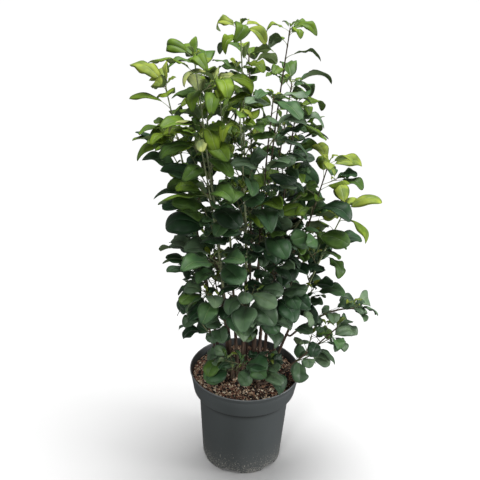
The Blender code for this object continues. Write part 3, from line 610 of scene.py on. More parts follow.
def add_twigs(crown, mass, places, rng):
    """The twigs of a mass, at shares of its stem with their lengths, where they touch nothing."""
    owner = crown.masses.index(mass)
    for index, (share, length) in enumerate(places):
        for attempt in range(TWIG_TRIES):
            reach = length * rng.uniform(*TWIG_RANGE)
            twig = twig_axis(mass.axes[0], share, index + attempt, reach, rng)
            if crown.spaces.clear_of(twig, TWIG_MARGIN):
                mass.axes.append(twig)
                crown.add_axis(twig, owner)
                break


def spring(name, height, heading):
    """Where a side limb meets a cane at a height: just clear of its bark, and square to it."""
    axis = AXES[name]
    share = share_at_height(axis.points, height)
    point, along = point_at(axis.points, share)
    across = (heading - along * heading.dot(along)).normalized()
    return point + across * (limb_radius(axis, share) * FACET_SHARE + GAP), across


def bough_line():
    """The middle line of the long side branch of the arching cane."""
    middle, tip = Vector(BOUGH_MIDDLE), Vector(BOUGH_TIP)
    root, across = spring(BOUGH_CANE, BOUGH_HEIGHT, direction(BOUGH_BEARING, 0.0))
    square = root + across * BOUGH_SQUARE
    points = [root, square]
    for step in range(1, BOUGH_SAMPLES + 1):
        share = step / BOUGH_SAMPLES
        a, b = square.lerp(middle, share), middle.lerp(tip, share)
        points.append(a.lerp(b, share))
    return points


def limb_radius(axis, share):
    """The radius of a limb at a share of its length."""
    lengths = pieces_of(axis.points)
    left = share * sum(lengths)
    for index, length in enumerate(lengths):
        if left <= length:
            return axis.radii[index] + (axis.radii[index + 1] - axis.radii[index]) * left / length
        left -= length
    return axis.radii[-1]


LINES = {cane.name: cane_line(cane) for cane in CANES}
AXES = {cane.name: cane_axis(cane, LINES[cane.name]) for cane in CANES}


def grow_crown():
    """The whole plan: limbs first, then every stem and twig, then the leaves."""
    crown = Crown()
    limbs = {}
    for cane in CANES:
        limbs["cane_" + cane.name] = AXES[cane.name]
        crown.add_axis(AXES[cane.name], -1)
    branch = bough_line()
    branch_length = sum(pieces_of(branch))
    points = branch[:1] + cut_line(branch, BOUGH_SQUARE / branch_length, BOUGH_BARE, BOUGH_STEPS)
    radii = taper(BOUGH_RADIUS, STEM_RADIUS, BOUGH_STEPS)
    bough = Axis(points, radii[:1] + radii)
    limbs["bough_right"] = bough
    crown.add_axis(bough, -1)

    jobs = []
    for cane in CANES:
        line = LINES[cane.name]
        length = sum(pieces_of(line))
        start = share_at_height(line, cane.leafy) + GAP / length
        reach = (1.0 - start) * length
        steps = max(FEWEST_STEPS, round(reach / LEADER_STEP))
        stem = Axis(cut_line(line, start, 1.0, steps), taper(STEM_RADIUS, TWIG_RADIUS, steps))
        mass = add_mass(crown, "foliage_" + cane.name + "_top", cane.tone, stem)
        twigs = [(share, max(SHORTEST_TWIG, reach * part)) for share, part in LEADER_TWIGS[:cane.twigs]]
        sizes = [size * cane.size for size in LEADER_SIZES]
        jobs.append((mass, twigs, cane.spacing, sizes))
    points = cut_line(branch, BOUGH_BARE + GAP / branch_length, 1.0, BOUGH_STEM_STEPS)
    stem = Axis(points, [STEM_RADIUS] * len(points))
    mass = add_mass(crown, "foliage_bough_right", BOUGH_TONE, stem)
    jobs.append((mass, BOUGH_TWIGS, BOUGH_SPACING, BOUGH_SIZES))
    counts = {}
    for side in SIDES:
        counts[side.cane] = counts.get(side.cane, 0) + 1
        name = "foliage_" + side.cane + "_" + str(counts[side.cane])
        stem = side_stem(crown, side, random.Random(name))
        mass = add_mass(crown, name, side.tone, stem)
        jobs.append((mass, SIDE_TWIGS, SIDE_SPACING, SIDE_SIZES))

    for mass, twigs, _, _ in jobs:
        add_twigs(crown, mass, twigs, random.Random("twigs of " + mass.name))
    for mass, _, spacing, sizes in jobs:
        rng = random.Random("leaves of " + mass.name)
        leaf_stem(crown, mass, mass.axes[0], spacing, STEM_FIRST, sizes, rng)
        for twig in mass.axes[1:]:
            leaf_stem(crown, mass, twig, spacing, TWIG_FIRST, sizes, rng)
    return limbs, crown


# Finer growth
SPUR_SPACING = 0.060
SPUR_PLACES = (0.12, 0.88)
SPUR_RISE = (0, 70)
SPUR_SQUARE = 0.6
SPUR_LENGTH = (0.016, 0.034)
SPUR_RADIUS = 0.0008
SPUR_LEAVES = 3
SPUR_LEAF_SIZES = (0.52, 0.80)
SPUR_LEAF_FROM = 0.62
SPUR_LEAF_SPAN = 0.34
SPUR_WANDER = 0.3
TUFT_LEAVES = 3
TUFT_LENGTH = (0.013, 0.027)
TUFT_SMALLER = 0.2
TUFT_WIDTH = 0.42
TUFT_WIDTH_RANGE = (0.85, 1.2)
TUFT_RISE = (48, 80)
TUFT_BASE_DROP = (5, 20)
TUFT_TIP_DROP = (30, 60)
TUFT_ROLL = 0.3
TUFT_STALK = 0.003
TUFT_STALK_SHARE = 0.2

# Leaf blades: rows run along them, and columns from one edge over the midrib to the other
LEAF_ROWS = 16
LEAF_COLUMNS = (-1.0, -0.70, -0.38, -0.06, 0.0, 0.06, 0.38, 0.70, 1.0)
MIDDLE = 4
VEIN_SWEEP = 0.8
VEIN_DEPTH = 0.00007
VEIN_DEPTH_SHARE = 0.012
MIDRIB_DEPTH = 0.00045
MIDRIB_HALF = (0.0007, 0.0002)
MIDRIB_MOST = 0.3
BLADE_THICKNESS = 0.00036
EDGE_HALF = 0.0004
EDGE_WAVE = 1.5
DROOP_FROM = 0.62

# The free curves of a blade, which no two leaves share, each with its range
BLADE_CURVES = {
    "fullness": (0.98, 1.36),
    "bluntness": (0.42, 0.60),
    "fold": (0.04, 0.52),
    "curl": (0.0, 0.65),
    "wave": (0.0010, 0.0050),
    "waves": (1.2, 2.6),
    "phase": (0.0, math.tau),
    "offset": (0.0, math.pi),
    "droop": (0.0, 1.9),
    "twist": (-0.6, 0.6),
    "hump": (0.02, 0.13),
}
YOUNG_FOLD = (0.5, 1.0)
YOUNG_WAVE = 0.4

# Leaf stalks: each runs on under its blade as the midrib, by rows of the blade. The radii are millimetres.
MILLIMETRE = 0.001
STALK_SIDES = 5
STALK_STEPS = 5
STALK_ROWS = (0, 2, 5, 8, 11)
STALK_SINK = 0.9
STALK_RADII = (0.95, 0.75, 0.62, 0.58, 0.58, 0.56, 0.50, 0.42, 0.32, 0.20)
STALK_FULL_FROM = 0.05

# How blades are turned, in degrees, and sized, by the height of their roots
RAISE_HEIGHTS = (0.26, 0.36, 0.60, 0.74, 0.84, 1.00)
BASE_RAISE = (0.0, 4.0, 12.0, 9.0, -6.0, -8.0)
TIP_RAISE = (0.0, 6.0, 16.0, 9.0, -14.0, -16.0)
FRONT_HEIGHTS = (0.30, 0.50, 0.72)
FRONT_SHARES = (0.0, 0.6, 1.0)
FRONT_BASE_RAISE = 6.0
FRONT_TIP_RAISE = 28.0
LEAST_ARCH = math.radians(8.0)
BLADE_WIDTH = 0.96
LOW_SPAN = (0.60, 0.42)
LOW_ROUNDNESS = 0.02
LOW_SHORTER = 0.14
HIGH_SPAN = (0.58, 0.72)
HIGH_SLIMMER = 0.20
HIGH_LONGER = 0.06
CURLED_FROM = 0.90
CURLED_FOLD = 0.20
CURLED_DROOP = 1.6
CURLED_SIZE = 0.86

# Greens from the oldest, deepest blade to the newest, and what goes with them
GREENS = (
    (0.006, 0.032, 0.008),
    (0.015, 0.057, 0.018),
    (0.031, 0.088, 0.032),
    (0.050, 0.122, 0.043),
    (0.064, 0.142, 0.024),
    (0.096, 0.186, 0.018),
    (0.130, 0.228, 0.020),
    (0.162, 0.262, 0.030),
    (0.210, 0.302, 0.058),
)
# Grey-green leaves: partly a duller green of their own, partly a painted sheen that stands for broad soft
# highlights
SOFT_SHEEN_GREENS = ((0.050, 0.104, 0.047), (0.082, 0.150, 0.075), (0.120, 0.198, 0.108))
PALE_GREEN = (0.300, 0.385, 0.165)
PALE_SLOT = len(GREENS) + len(SOFT_SHEEN_GREENS)
GROWN_FROM = 3
YOUNG_FROM = 6

# The other parts of a leaf: name, the colours for old, grown and young leaves, roughness, height of the grain
LEAF_PARTS = (
    ("underside", ((0.060, 0.096, 0.064), (0.120, 0.178, 0.080), (0.225, 0.315, 0.110)), 0.62, 0.00015),
    ("vein", ((0.075, 0.125, 0.070), (0.125, 0.190, 0.070), (0.240, 0.320, 0.100)), 0.5, 0.0001),
    ("stalk", ((0.095, 0.110, 0.050), (0.170, 0.215, 0.085), (0.300, 0.360, 0.160)), 0.5, 0.0001),
)
LEAF_AGES = 3

# The finish of the upper faces. A pair is for the oldest and the newest green.
LEAF_ROUGHNESS = 0.52
LEAF_GRAIN_HEIGHT = 0.00010
LEAF_GLOSS = (0.44, 0.13)
LEAF_SHEEN = (0.11, 0.0)
SHEEN_ROUGHNESS = 0.4
SHEEN_TINT = (0.85, 1.0, 0.85)
CLOUD_NOISE = (42.0, 2.0)
CLOUD_PLACES = (0.36, 0.64)
CLOUD_DARK = (0.80, 0.70)
CLOUD_LIGHT = ((1.26, 1.50), (1.18, 1.28), (1.10, 0.95))

# How the greens are dealt out, in steps along their list
TONE_STEPS = 7.5
TONE_SPREAD = 1.25
TIP_FRESHNESS = 2.6
EVEN_SHARE = 0.75
GROWN_LENGTH = 0.056
SIZE_AGING = 120.0
LIGHTER_MASSES = {
    "foliage_left_1": 1.2, "foliage_far_left_1": 0.8, "foliage_front_left_1": 0.6,
    "foliage_right_top": 0.8, "foliage_far_right_top": 0.8,
}
OLD_BELOW = 0.84
AGING = 4.5
YOUNG_ABOVE = OLD_BELOW - 0.12
YOUNGEST_SHADE = 6.2
FRESH_ABOVE = 0.62
FRESH_MOST = 4.4
FRESH_RISE = 16.0
LOW_BELOW = 0.42
LOW_LIGHTER = 0.1
SPUR_AGE = 1.0
YOUNG_ENDS = {"foliage_arching_top": 5.5, "foliage_far_right_top": 4.5, "foliage_far_left_top": 1.0}
ENDS_FROM = 0.62
PALE_ABOVE = 0.68
PALE_SHARE = 0.11
PALE_TONE = 0.65
SOFT_MASSES = {"foliage_low_right_top": 0.9, "foliage_bough_right": 1.0, "foliage_far_right_1": 0.5}
SOFT_BELOW = 0.41
SOFT_SHARE = 0.54
SOFT_FROM = 1.5
SOFT_LEVEL = 5.0

# The joined pieces of leaves, by the tone of their masses. Two are parted at a height of their stems' roots.
LEAF_SLOTS = ("leaf_deep", "leaf_mid", "leaf_fresh")
SPLIT_HEIGHTS = {"leaf_deep": 0.40, "leaf_mid": 0.47}

# Twigs
FRAME_HINT = (0.31, 0.87, 0.12)
DRAWN_STEP = 0.004
TWIG_SIDES = 7
SPUR_SIDES = 5
STEM_DRAWN = 1.30
TWIG_DRAWN = 0.74
TIP_DRAWN = 0.74
SPUR_TIP_DRAWN = 0.8
TWIG_BOW = 0.03
NODE_SWELL = 0.30
NODE_LENGTH = 0.0022
ROOT_SINK = 0.0025
PALE_WOOD_TONE = 0.65
PALE_WOOD_CHANCE = 0.5
BUD_SHAPE = (0.55, 0.95, 1.0, 0.78, 0.42, 0.06)
BUD_WIDTH = 0.24
BUD_SIDES = 6
BUD_INSET = 0.0005
TIP_BUD = (0.004, 0.006)
CLUSTER_AT = (-0.021, -0.092, 0.423)
CLUSTER_BUDS = 11
CLUSTER_RISE = (0.1, 1.4)
CLUSTER_BUD = (0.006, 0.009)

# The materials of the twigs by slot: name, colour and roughness
BROWN, OLIVE, PALE, BUD_RED = range(4)
WOOD_GRAIN_HEIGHT = 0.0002
WOODS = (
    ("shoot brown", (0.085, 0.058, 0.032), 0.65),
    ("twig olive", (0.185, 0.200, 0.095), 0.60),
    ("shoot pale green", (0.340, 0.390, 0.210), 0.55),
    ("bud red brown", (0.140, 0.060, 0.035), 0.55),
)

# Bark. A noise, here and below, is a scale, a detail and, where it is drawn out along Z, its scale along Z.
# A finish is a roughness and, where it isn't 0.5, a specular level. A bump is a height and a strength.
BARK_SIDES = 14
BARK_STEP = 0.0045
BARK_RIDGES = 5
BARK_RIDGE = 0.045
RIDGE_TWIST = 9.0
BARK_GRAIN = 0.06
GRAIN_AROUND = 1.6
GRAIN_ALONG = 260.0
GRAIN_SEEDS = (0, 50)
SCAR_FIRST = 0.02
SCAR_SPACING = 0.028
SCAR_RANGE = (0.8, 1.3)
SCAR_END = 0.01
SCAR_LENGTH = 0.0022
SCAR_SWELL = 0.20
SCAR_AROUND = 0.35
BARK_BUD = 0.0042
BARK_BUD_SINK = 0.8
BARK_BUD_LEAN = 0.6
OLD_BARK = ((0.30, (0.030, 0.016, 0.011)), (0.52, (0.085, 0.048, 0.032)), (0.75, (0.190, 0.130, 0.090)))
NEW_BARK = ((0.30, (0.130, 0.128, 0.068)), (0.55, (0.260, 0.262, 0.150)), (0.78, (0.420, 0.425, 0.280)))
NEW_BARK_SPAN = (0.36, 0.66)
BARK_FINISH = (0.7,)
BARK_STREAKS = (240.0, 4.0, 0.12)
BARK_WANDER = (22.0, 2.0)
BARK_FINE = (900.0, 3.0, 0.2)
BARK_BUMP = (0.0004, 0.8)
FINE_NOISE = (900.0, 3.0)

# The pot's outline. The lip's points are given as how far out from the rim's radius and how far below the top
# they lie, and the band's lower edge as how far out from its foot's radius and how far above its foot.
POT_STEPS = 144
LIP_OUTLINE = (
    (-WALL, 0.0012), (-0.85 * WALL, 0.0004), (-0.5 * WALL, 0.0), (-0.0001, 0.0002),
    (0.0005, 0.0010), (0.0006, 0.0022), (0.0003, 0.0032),
)
LIP_DEPTH = 0.0040
LIP_STEP = 0.0050
LINE_DROP = 0.0115
LINE_HALF = 0.0012
LINE_FLAT = 0.0004
LINE_DEPTH = 0.0005
BAND_LOWER = (0.020, 0.004)
BAND_ROUND = (0.0018, 0.0001)
BAND_EDGE = ((-0.0006, 0.0005), (-0.0018, -0.0001), (-0.0050, -0.0006))
NECK = ((0.0030, -0.0013), (0.0009, -0.0028))
BODY_UPPER = (0.002, 0.004)
BODY_HEIGHTS = (0.110, 0.050, 0.0060, 0.0040)
FOOT_EDGE = ((0.0003, 0.0024), (0.0010, 0.0010))
FOOT_UNDER = ((0.0022, 0.0002), (0.0040, 0.0))
MERGE_WITHIN = 0.00001
SLOT_ROUND = 0.08
SLOT_ROUND_STEPS = 2
SHARP_EDGE = math.radians(38.0)

# The pot's plastic, with spans of height as pairs
POT_FINISH = (0.50, 0.4)
POT_CLOUDS = (9.0, 3.0, 0.35)
POT_FILM = (60.0, 4.0)
POT_SPOTS = (380.0, 2.0)
POT_GRAIN = (1400.0, 2.0)
POT_BUMP = (0.00012, 0.5)
PLASTIC = ((0.30, (0.049, 0.057, 0.057)), (0.70, (0.069, 0.078, 0.080)))
DUST_SPAN = (0.004, 0.085)
DUST_FADE = 1.6
DUST_MOST = 0.45
DUST_COLOUR = (0.180, 0.175, 0.160)
FLECK_LEVEL = 0.79
FLECK_MORE = 0.25
FLECK_EDGE = 0.03
FLECK_COLOUR = (0.300, 0.290, 0.260)
# Painted shadow: the pot darkens to the shade colour along its foot, where it stands on the floor
FOOT_SHADOW_SPAN = (0.0004, 0.0030)
SHADE_COLOUR = (0.012, 0.013, 0.013)
# Painted shadow on the body just under the band's overhang, in the same shade colour
BAND_SHADOW_SPAN = (-0.022, -0.0095)
BAND_SHADOW_STOP = (-0.0006, 0.0002)
BAND_SHADOW_FADE = 2.0
UNDER_SHADE = 0.85
# Painted highlight: a lighter line along the top of the lip
LIP_HIGHLIGHT_SPAN = (-0.0020, -0.0006)
LIP_HIGHLIGHT_SHARE = 0.7
LIP_HIGHLIGHT_COLOUR = (0.190, 0.200, 0.205)

# The mix. Each layer of its lumps has a scale, a seed and a height.
SOIL_RINGS = 40
SOIL_STEPS = 120
SOIL_SKIN = 0.0001
SOIL_LUMPS = ((45.0, 3.0, 0.0022), (160.0, 7.0, 0.0012))
SOIL_SINK = 0.0010
SOIL_FINISH = (0.92, 0.25)
SOIL_NOISE = (300.0, 5.0)
SOIL_BUMP = (0.0016, 1.0)
SOIL_COLOURS = (
    (0.30, (0.010, 0.006, 0.005)),
    (0.50, (0.045, 0.024, 0.016)),
    (0.62, (0.150, 0.085, 0.055)),
    (0.76, (0.340, 0.230, 0.150)),
)
CHIP_COUNT = 8000
CHIP_SIZE = (0.0013, 0.0041)
CHIP_LEAST = 0.6
CHIP_MORE = 0.7
CHIP_DENT = 0.35
CHIP_LENGTH = (0.7, 1.0)
CHIP_WIDTH = 0.72
CHIP_FLATNESS = (0.3, 0.6)
CHIP_TILT = 0.5
CHIP_LIFT = (0.0, 0.35)
CHIP_INSET = 0.002
CHIP_ROOM = 0.7
CHIP_SMALLEST = 0.0012
CHIP_COLOURS = (
    (0.014, 0.009, 0.007),
    (0.055, 0.030, 0.020),
    (0.180, 0.080, 0.052),
    (0.330, 0.190, 0.120),
    (0.640, 0.460, 0.300),
    (0.950, 0.820, 0.620),
)
CHIP_SHARES = (0.17, 0.17, 0.16, 0.13, 0.19, 0.18)
CHIP_ROUGHNESS = 0.85
CHIP_NOISE = (700.0, 3.0)
CHIP_GRAIN_HEIGHT = 0.0003
PALE_CHIPS_FROM = 4
PALE_CHIP_SIZE = 0.9
DARK_CHIP_SIZE = 1.1
CREAM = 5

# Chips that the photo shows one by one, as x, y and size, and a pale stick
LARGE_CHIPS = ((0.046, -0.096, 0.0080), (0.055, -0.090, 0.0045), (-0.080, -0.060, 0.0040))
LARGE_CHIP_FLATNESS = 0.4
LARGE_CHIP_LIFT = 0.3
STICK = ((-0.052, 0.004, 0.2155), (-0.044, -0.006, 0.2160), (-0.034, -0.018, 0.2148))
STICK_RADII = (0.0012, 0.0016, 0.0010)
STICK_SIDES = 5

# Camera, floor and light
CAMERA_PLACE = (0.0, -1.818, 1.491)
CAMERA_PITCH = math.radians(27.6)
CAMERA_YAW = math.radians(-0.69)
CAMERA_ROLL = math.radians(2.25)
CAMERA_LENS = 75.0
CAMERA_SENSOR = 36.0
FLOOR_SIZE = 20.0
FLOOR_FINISH = (0.9, 0.1)
FLOOR_COLOUR = (0.545, 0.545, 0.545)
WORLD_STRENGTH = 0.21
SKY_LIGHT = 5.2
SKY_SPREAD = math.radians(42.0)
SKY_FROM = (0.02, 0.12, 1.0)
SPOT_FROM = (-0.25, -1.00, 0.95)
SPOT_AT = (0.0, -0.05, 0.215)
SPOT_POWER = 19.0
SPOT_CONE = math.radians(26.0)
SPOT_RADIUS = 0.10

# Each area light: its name, place, target, size and power
AREA_LIGHTS = (
    ("right", (1.8, -0.35, 0.42), (0.0, 0.0, 0.2), (0.5, 0.8), 24.0),
    ("front", (-0.5, -1.9, 0.36), (0.0, 0.0, 0.45), (1.2, 0.7), 9.0),
)


def add_object(name, data):
    """A new object in the scene."""
    body = bpy.data.objects.new(name, data)
    bpy.context.scene.collection.objects.link(body)
    return body


class Batch:
    """Many small shapes gathered into one mesh."""

    def __init__(self):
        self.points = []
        self.faces = []
        self.slots = []
        self.count = 0

    def add(self, points, *blocks):
        """Takes points and blocks of faces over them, each with one material slot or one for each face."""
        for faces, slots in blocks:
            self.faces.append(np.asarray(faces) + self.count)
            self.slots.append(np.broadcast_to(slots, len(faces)))
        self.points.append(np.asarray(points))
        self.count += len(points)

    def triangles(self):
        """How many triangles the shapes have so far."""
        return sum(len(faces) * (faces.shape[1] - 2) for faces in self.faces)

    def build(self, name, materials, smooth=True):
        """The one object of all the shapes."""
        mesh = bpy.data.meshes.new(name)
        faces = [row for block in self.faces for row in block.tolist()]
        mesh.from_pydata(np.vstack(self.points).tolist(), [], faces)
        for made in materials:
            mesh.materials.append(made)
        mesh.polygons.foreach_set("material_index", np.concatenate(self.slots).astype(np.int32))
        mesh.polygons.foreach_set("use_smooth", np.full(len(faces), smooth))
        mesh.update()
        return add_object(name, mesh)


def meets_leaf(crown, spur):
    """Whether a spur touches a leaf that is there."""
    tree = tube_tree(spur)
    for leaf, centre, size in crown.leaves:
        if (centre - spur.points[1]).length < size + SPUR_LENGTH[1] and tree.overlap(leaf):
            return True
    return False


def dress_spur(crown, mass, owner, spur, rng):
    """Tries a few small leaves on a spur, which is kept where one of them fits."""
    turn = rng.uniform(0.0, math.tau)
    leafy = False
    for index in range(SPUR_LEAVES):
        turn += GOLDEN_ANGLE + rng.uniform(-SPUR_WANDER, SPUR_WANDER)
        share = SPUR_LEAF_FROM + SPUR_LEAF_SPAN * index / (SPUR_LEAVES - 1)
        size = rng.uniform(*SPUR_LEAF_SIZES)
        leafy = try_leaf(crown, mass, owner, spur, share, turn, size, rng) or leafy
    if leafy:
        mass.axes.append(spur)
        crown.add_axis(spur, owner)


def grow_spurs(crown):
    """Short fine twigs between the leaves, where they touch nothing."""
    for owner, mass in enumerate(crown.masses):
        rng = random.Random("spurs of " + mass.name)
        for axis in list(mass.axes):
            length = sum(pieces_of(axis.points))
            for _ in range(max(1, round(length / SPUR_SPACING))):
                root, along = point_at(axis.points, rng.uniform(*SPUR_PLACES))
                heading = direction(rng.uniform(0.0, math.tau), degrees_between(rng, *SPUR_RISE))
                heading = (heading - along * heading.dot(along) * SPUR_SQUARE).normalized()
                spur = Axis([root, root + heading * rng.uniform(*SPUR_LENGTH)], [SPUR_RADIUS] * 2)
                if crown.spaces.clear_of(spur, TWIG_MARGIN) and not meets_leaf(crown, spur):
                    dress_spur(crown, mass, owner, spur, rng)


def tuft_leaf(root, turn, index, rng):
    """One small folded leaf at the tip of a stem or twig."""
    length = rng.uniform(*TUFT_LENGTH) * (1.0 - TUFT_SMALLER * index)
    start = degrees_between(rng, *TUFT_RISE)
    base_lift = start - degrees_between(rng, *TUFT_BASE_DROP)
    tip_lift = start - degrees_between(rng, *TUFT_TIP_DROP)
    width = length * TUFT_WIDTH * rng.uniform(*TUFT_WIDTH_RANGE)
    roll = rng.uniform(-TUFT_ROLL, TUFT_ROLL)
    stalk = TUFT_STALK + TUFT_STALK_SHARE * length
    return Leaf(root, turn, (start, base_lift, tip_lift), roll, stalk, length, width)


def grow_tufts(crown):
    """Small folded leaves that open at the tips of the stems and of every other twig, by mass."""
    tufts = {}
    for mass in crown.masses:
        rng = random.Random("tufts of " + mass.name)
        tufts[mass.name] = []
        for axis in mass.axes[::2]:
            root = point_at(axis.points, 1.0)[0]
            turn = rng.uniform(0.0, math.tau)
            for index in range(TUFT_LEAVES):
                turn += GOLDEN_ANGLE
                tufts[mass.name].append(tuft_leaf(root, turn, index, rng))
    return tufts


def outline(share, fullness, bluntness):
    """The half width of a blade as a share of its widest, from a rounded base to a short tip."""
    share = np.clip(share, 0.0, 1.0)
    return np.sin(np.pi * share**fullness) ** bluntness


def leaf_template():
    """The faces of one blade and their kinds: 0 for the upper sheet, 1 for its midrib, 2 for the under sheet.

    The sheets meet along the edge and are split along the same diagonals, so neither comes through the other.
    """
    rows, columns = LEAF_ROWS, len(LEAF_COLUMNS)
    upper = np.arange(rows * columns).reshape(rows, columns)
    under = upper.copy()
    under[1:-1, 1:-1] = rows * columns + np.arange((rows - 2) * (columns - 2)).reshape(rows - 2, -1)
    faces, kinds = [], []
    for row in range(rows - 1):
        for column in range(columns - 1):
            for sheet, kind in ((upper, int(column in (MIDDLE - 1, MIDDLE))), (under, 2)):
                corners = [sheet[row, column], sheet[row + 1, column],
                           sheet[row + 1, column + 1], sheet[row, column + 1]]
                faces.append(corners if kind < 2 else corners[:1] + corners[:0:-1])
                kinds.append(kind)
    return np.array(faces), np.array(kinds)


BLADE_FACES, BLADE_KINDS = leaf_template()


def blade_place(leaf, run, across, lift, twist):
    """World places of blade points, from their run along it, their offset to the side and their lift."""
    root_lift, base_lift, tip_lift = leaf.lifts
    level = np.array([math.cos(leaf.heading), math.sin(leaf.heading)])
    start_out, start_up = arc(root_lift, base_lift, leaf.petiole, leaf.petiole)
    turn = tip_lift - base_lift
    rise = base_lift + turn * run / leaf.length
    size = leaf.length / turn
    out = start_out + size * (np.sin(rise) - math.sin(base_lift))
    up = start_up + size * (math.cos(base_lift) - np.cos(rise))
    forward = np.stack([level[0] * np.cos(rise), level[1] * np.cos(rise), np.sin(rise)], -1)
    flat_side = np.array([-level[1], level[0], 0.0])
    flat_up = np.cross(forward, flat_side)
    roll = (leaf.roll + twist * run / leaf.length)[..., None]
    side = flat_side * np.cos(roll) + flat_up * np.sin(roll)
    normal = np.cross(forward, side)
    middle = np.array(leaf.root) + np.stack([level[0] * out, level[1] * out, up], -1)
    return middle + side * across[..., None] + normal * lift[..., None]


def blade_sheets(leaf, shape):
    """The points of a blade's upper and under sheets."""
    rows = np.linspace(0.0, 1.0, LEAF_ROWS)[:, None]
    columns = np.array(LEAF_COLUMNS)[None, :]
    side = np.abs(columns)
    share = rows + VEIN_SWEEP * side * rows * (1.0 - rows)
    half = np.maximum(0.5 * leaf.width * outline(share, shape["fullness"], shape["bluntness"]), EDGE_HALF)
    across = columns * half
    rib = np.minimum(between(MIDRIB_HALF, rows[:, 0]), MIDRIB_MOST * half[:, MIDDLE])
    across[:, MIDDLE - 1], across[:, MIDDLE + 1] = -rib, rib
    swell = np.sin(np.pi * share)
    lift = shape["fold"] * np.abs(across) - shape["curl"] * across**2 / (0.5 * leaf.width)
    phase = shape["phase"] + np.where(columns > 0, shape["offset"], 0.0)
    lift = lift + shape["wave"] * side**EDGE_WAVE * swell * np.sin(math.tau * shape["waves"] * share + phase)
    lift = lift - shape["droop"] * np.clip(share - DROOP_FROM, 0.0, 1.0) ** 2 * leaf.length
    lift = lift + shape["hump"] * np.sin(np.pi * share) * leaf.length
    is_vein = (np.arange(LEAF_ROWS) % 2)[:, None]
    depth = min(VEIN_DEPTH, leaf.width * VEIN_DEPTH_SHARE)
    lift = lift - depth * (is_vein - 0.5) * (1.0 - side**2) * swell * (side > 0.0)
    lift = lift - MIDRIB_DEPTH * (side == 0.0) * swell
    thick = BLADE_THICKNESS * (1.0 - side**2) * swell
    run = share * leaf.length
    upper = blade_place(leaf, run, across, lift, shape["twist"])
    return upper, blade_place(leaf, run, across, lift - thick, shape["twist"])


def add_blade(batch, leaf, shape, slots):
    """One leaf: its two sheets and its stalk. Its slots are for its green, vein, underside and stalk."""
    upper, lower = blade_sheets(leaf, shape)
    points = np.vstack([upper.reshape(-1, 3), lower[1:-1, 1:-1].reshape(-1, 3)])
    batch.add(points, (BLADE_FACES, np.array(slots[:3])[BLADE_KINDS]))

    root_lift, base_lift, _ = leaf.lifts
    level = np.array([math.cos(leaf.heading), math.sin(leaf.heading), 0.0])
    stalk = []
    for step in range(STALK_STEPS):
        out, up = arc(root_lift, base_lift, leaf.petiole, leaf.petiole * step / STALK_STEPS)
        stalk.append(np.array(leaf.root) + level * out + np.array([0.0, 0.0, up]))
    for row in STALK_ROWS:
        above, below = upper[row, MIDDLE], lower[row, MIDDLE]
        stalk.append(0.5 * (above + below) - (above - below) * STALK_SINK)
    radii = np.array(STALK_RADII) * MILLIMETRE * min(1.0, leaf.length / STALK_FULL_FROM)
    add_tube(batch, np.array(stalk), radii, STALK_SIDES, slots[3])


def leaf_shape(rng, young=False):
    """The free curves of one blade. A young one is folded and less wavy."""
    curves = dict(BLADE_CURVES, fold=YOUNG_FOLD) if young else BLADE_CURVES
    shape = {name: rng.uniform(*ends) for name, ends in curves.items()}
    if young:
        shape["wave"] *= YOUNG_WAVE
    return shape


def smooth_line(points, radii, step):
    """A smooth curve through the points of an axis, with its radii, at about one step of length apart."""
    knots = np.array([tuple(p) for p in points])
    ends = np.vstack([2 * knots[0] - knots[1], knots, 2 * knots[-1] - knots[-2]])
    line, sizes = [], []
    for index in range(len(knots) - 1):
        a, b, c, d = ends[index:index + 4]
        count = max(2, round(float(np.linalg.norm(c - b)) / step))
        for part in range(count):
            t = part / count
            point = 0.5 * ((2 * b) + (c - a) * t + (2 * a - 5 * b + 4 * c - d) * t**2
                           + (3 * b - a - 3 * c + d) * t**3)
            line.append(point)
            sizes.append(radii[index] + (radii[index + 1] - radii[index]) * t)
    line.append(knots[-1])
    sizes.append(radii[-1])
    return np.array(line), np.array(sizes)


def line_frames(points):
    """Two vectors square to a line at each of its points, carried along it without twist."""
    along = np.gradient(points, axis=0)
    along /= np.linalg.norm(along, axis=1)[:, None]
    side = np.cross(along[0], np.array(FRAME_HINT))
    sides = []
    for vector in along:
        side = side - vector * (side @ vector)
        side = side / np.linalg.norm(side)
        sides.append(side)
    sides = np.array(sides)
    return sides, np.cross(along, sides)


def add_tube(batch, points, radii, sides, slot, relief=1.0):
    """A closed round tube along a line. Relief scales the radius of each corner."""
    across, up = line_frames(points)
    turns = np.arange(sides) * math.tau / sides
    size = radii[:, None] * (np.ones((len(points), sides)) * relief)
    ring = across[:, None, :] * np.cos(turns)[None, :, None] + up[:, None, :] * np.sin(turns)[None, :, None]
    skin = (points[:, None, :] + ring * size[..., None]).reshape(-1, 3)
    grid = np.arange(len(points) * sides).reshape(-1, sides)
    beside = np.roll(grid, -1, axis=1)
    walls = np.stack([grid[:-1], beside[:-1], beside[1:], grid[1:]], -1).reshape(-1, 4)
    first, last = len(skin), len(skin) + 1
    caps = [(beside[0, i], grid[0, i], first) for i in range(sides)]
    caps += [(grid[-1, i], beside[-1, i], last) for i in range(sides)]
    batch.add(np.vstack([skin, points[:1], points[-1:]]), (walls, slot), (caps, slot))


def add_bud(batch, place, along, size, slot):
    """A pointed bud on a twig or at its tip."""
    steps = np.linspace(0.0, 1.0, len(BUD_SHAPE))
    points = np.array(place)[None] + np.array(along)[None] * (steps * size)[:, None]
    add_tube(batch, points, size * BUD_WIDTH * np.array(BUD_SHAPE), BUD_SIDES, slot)


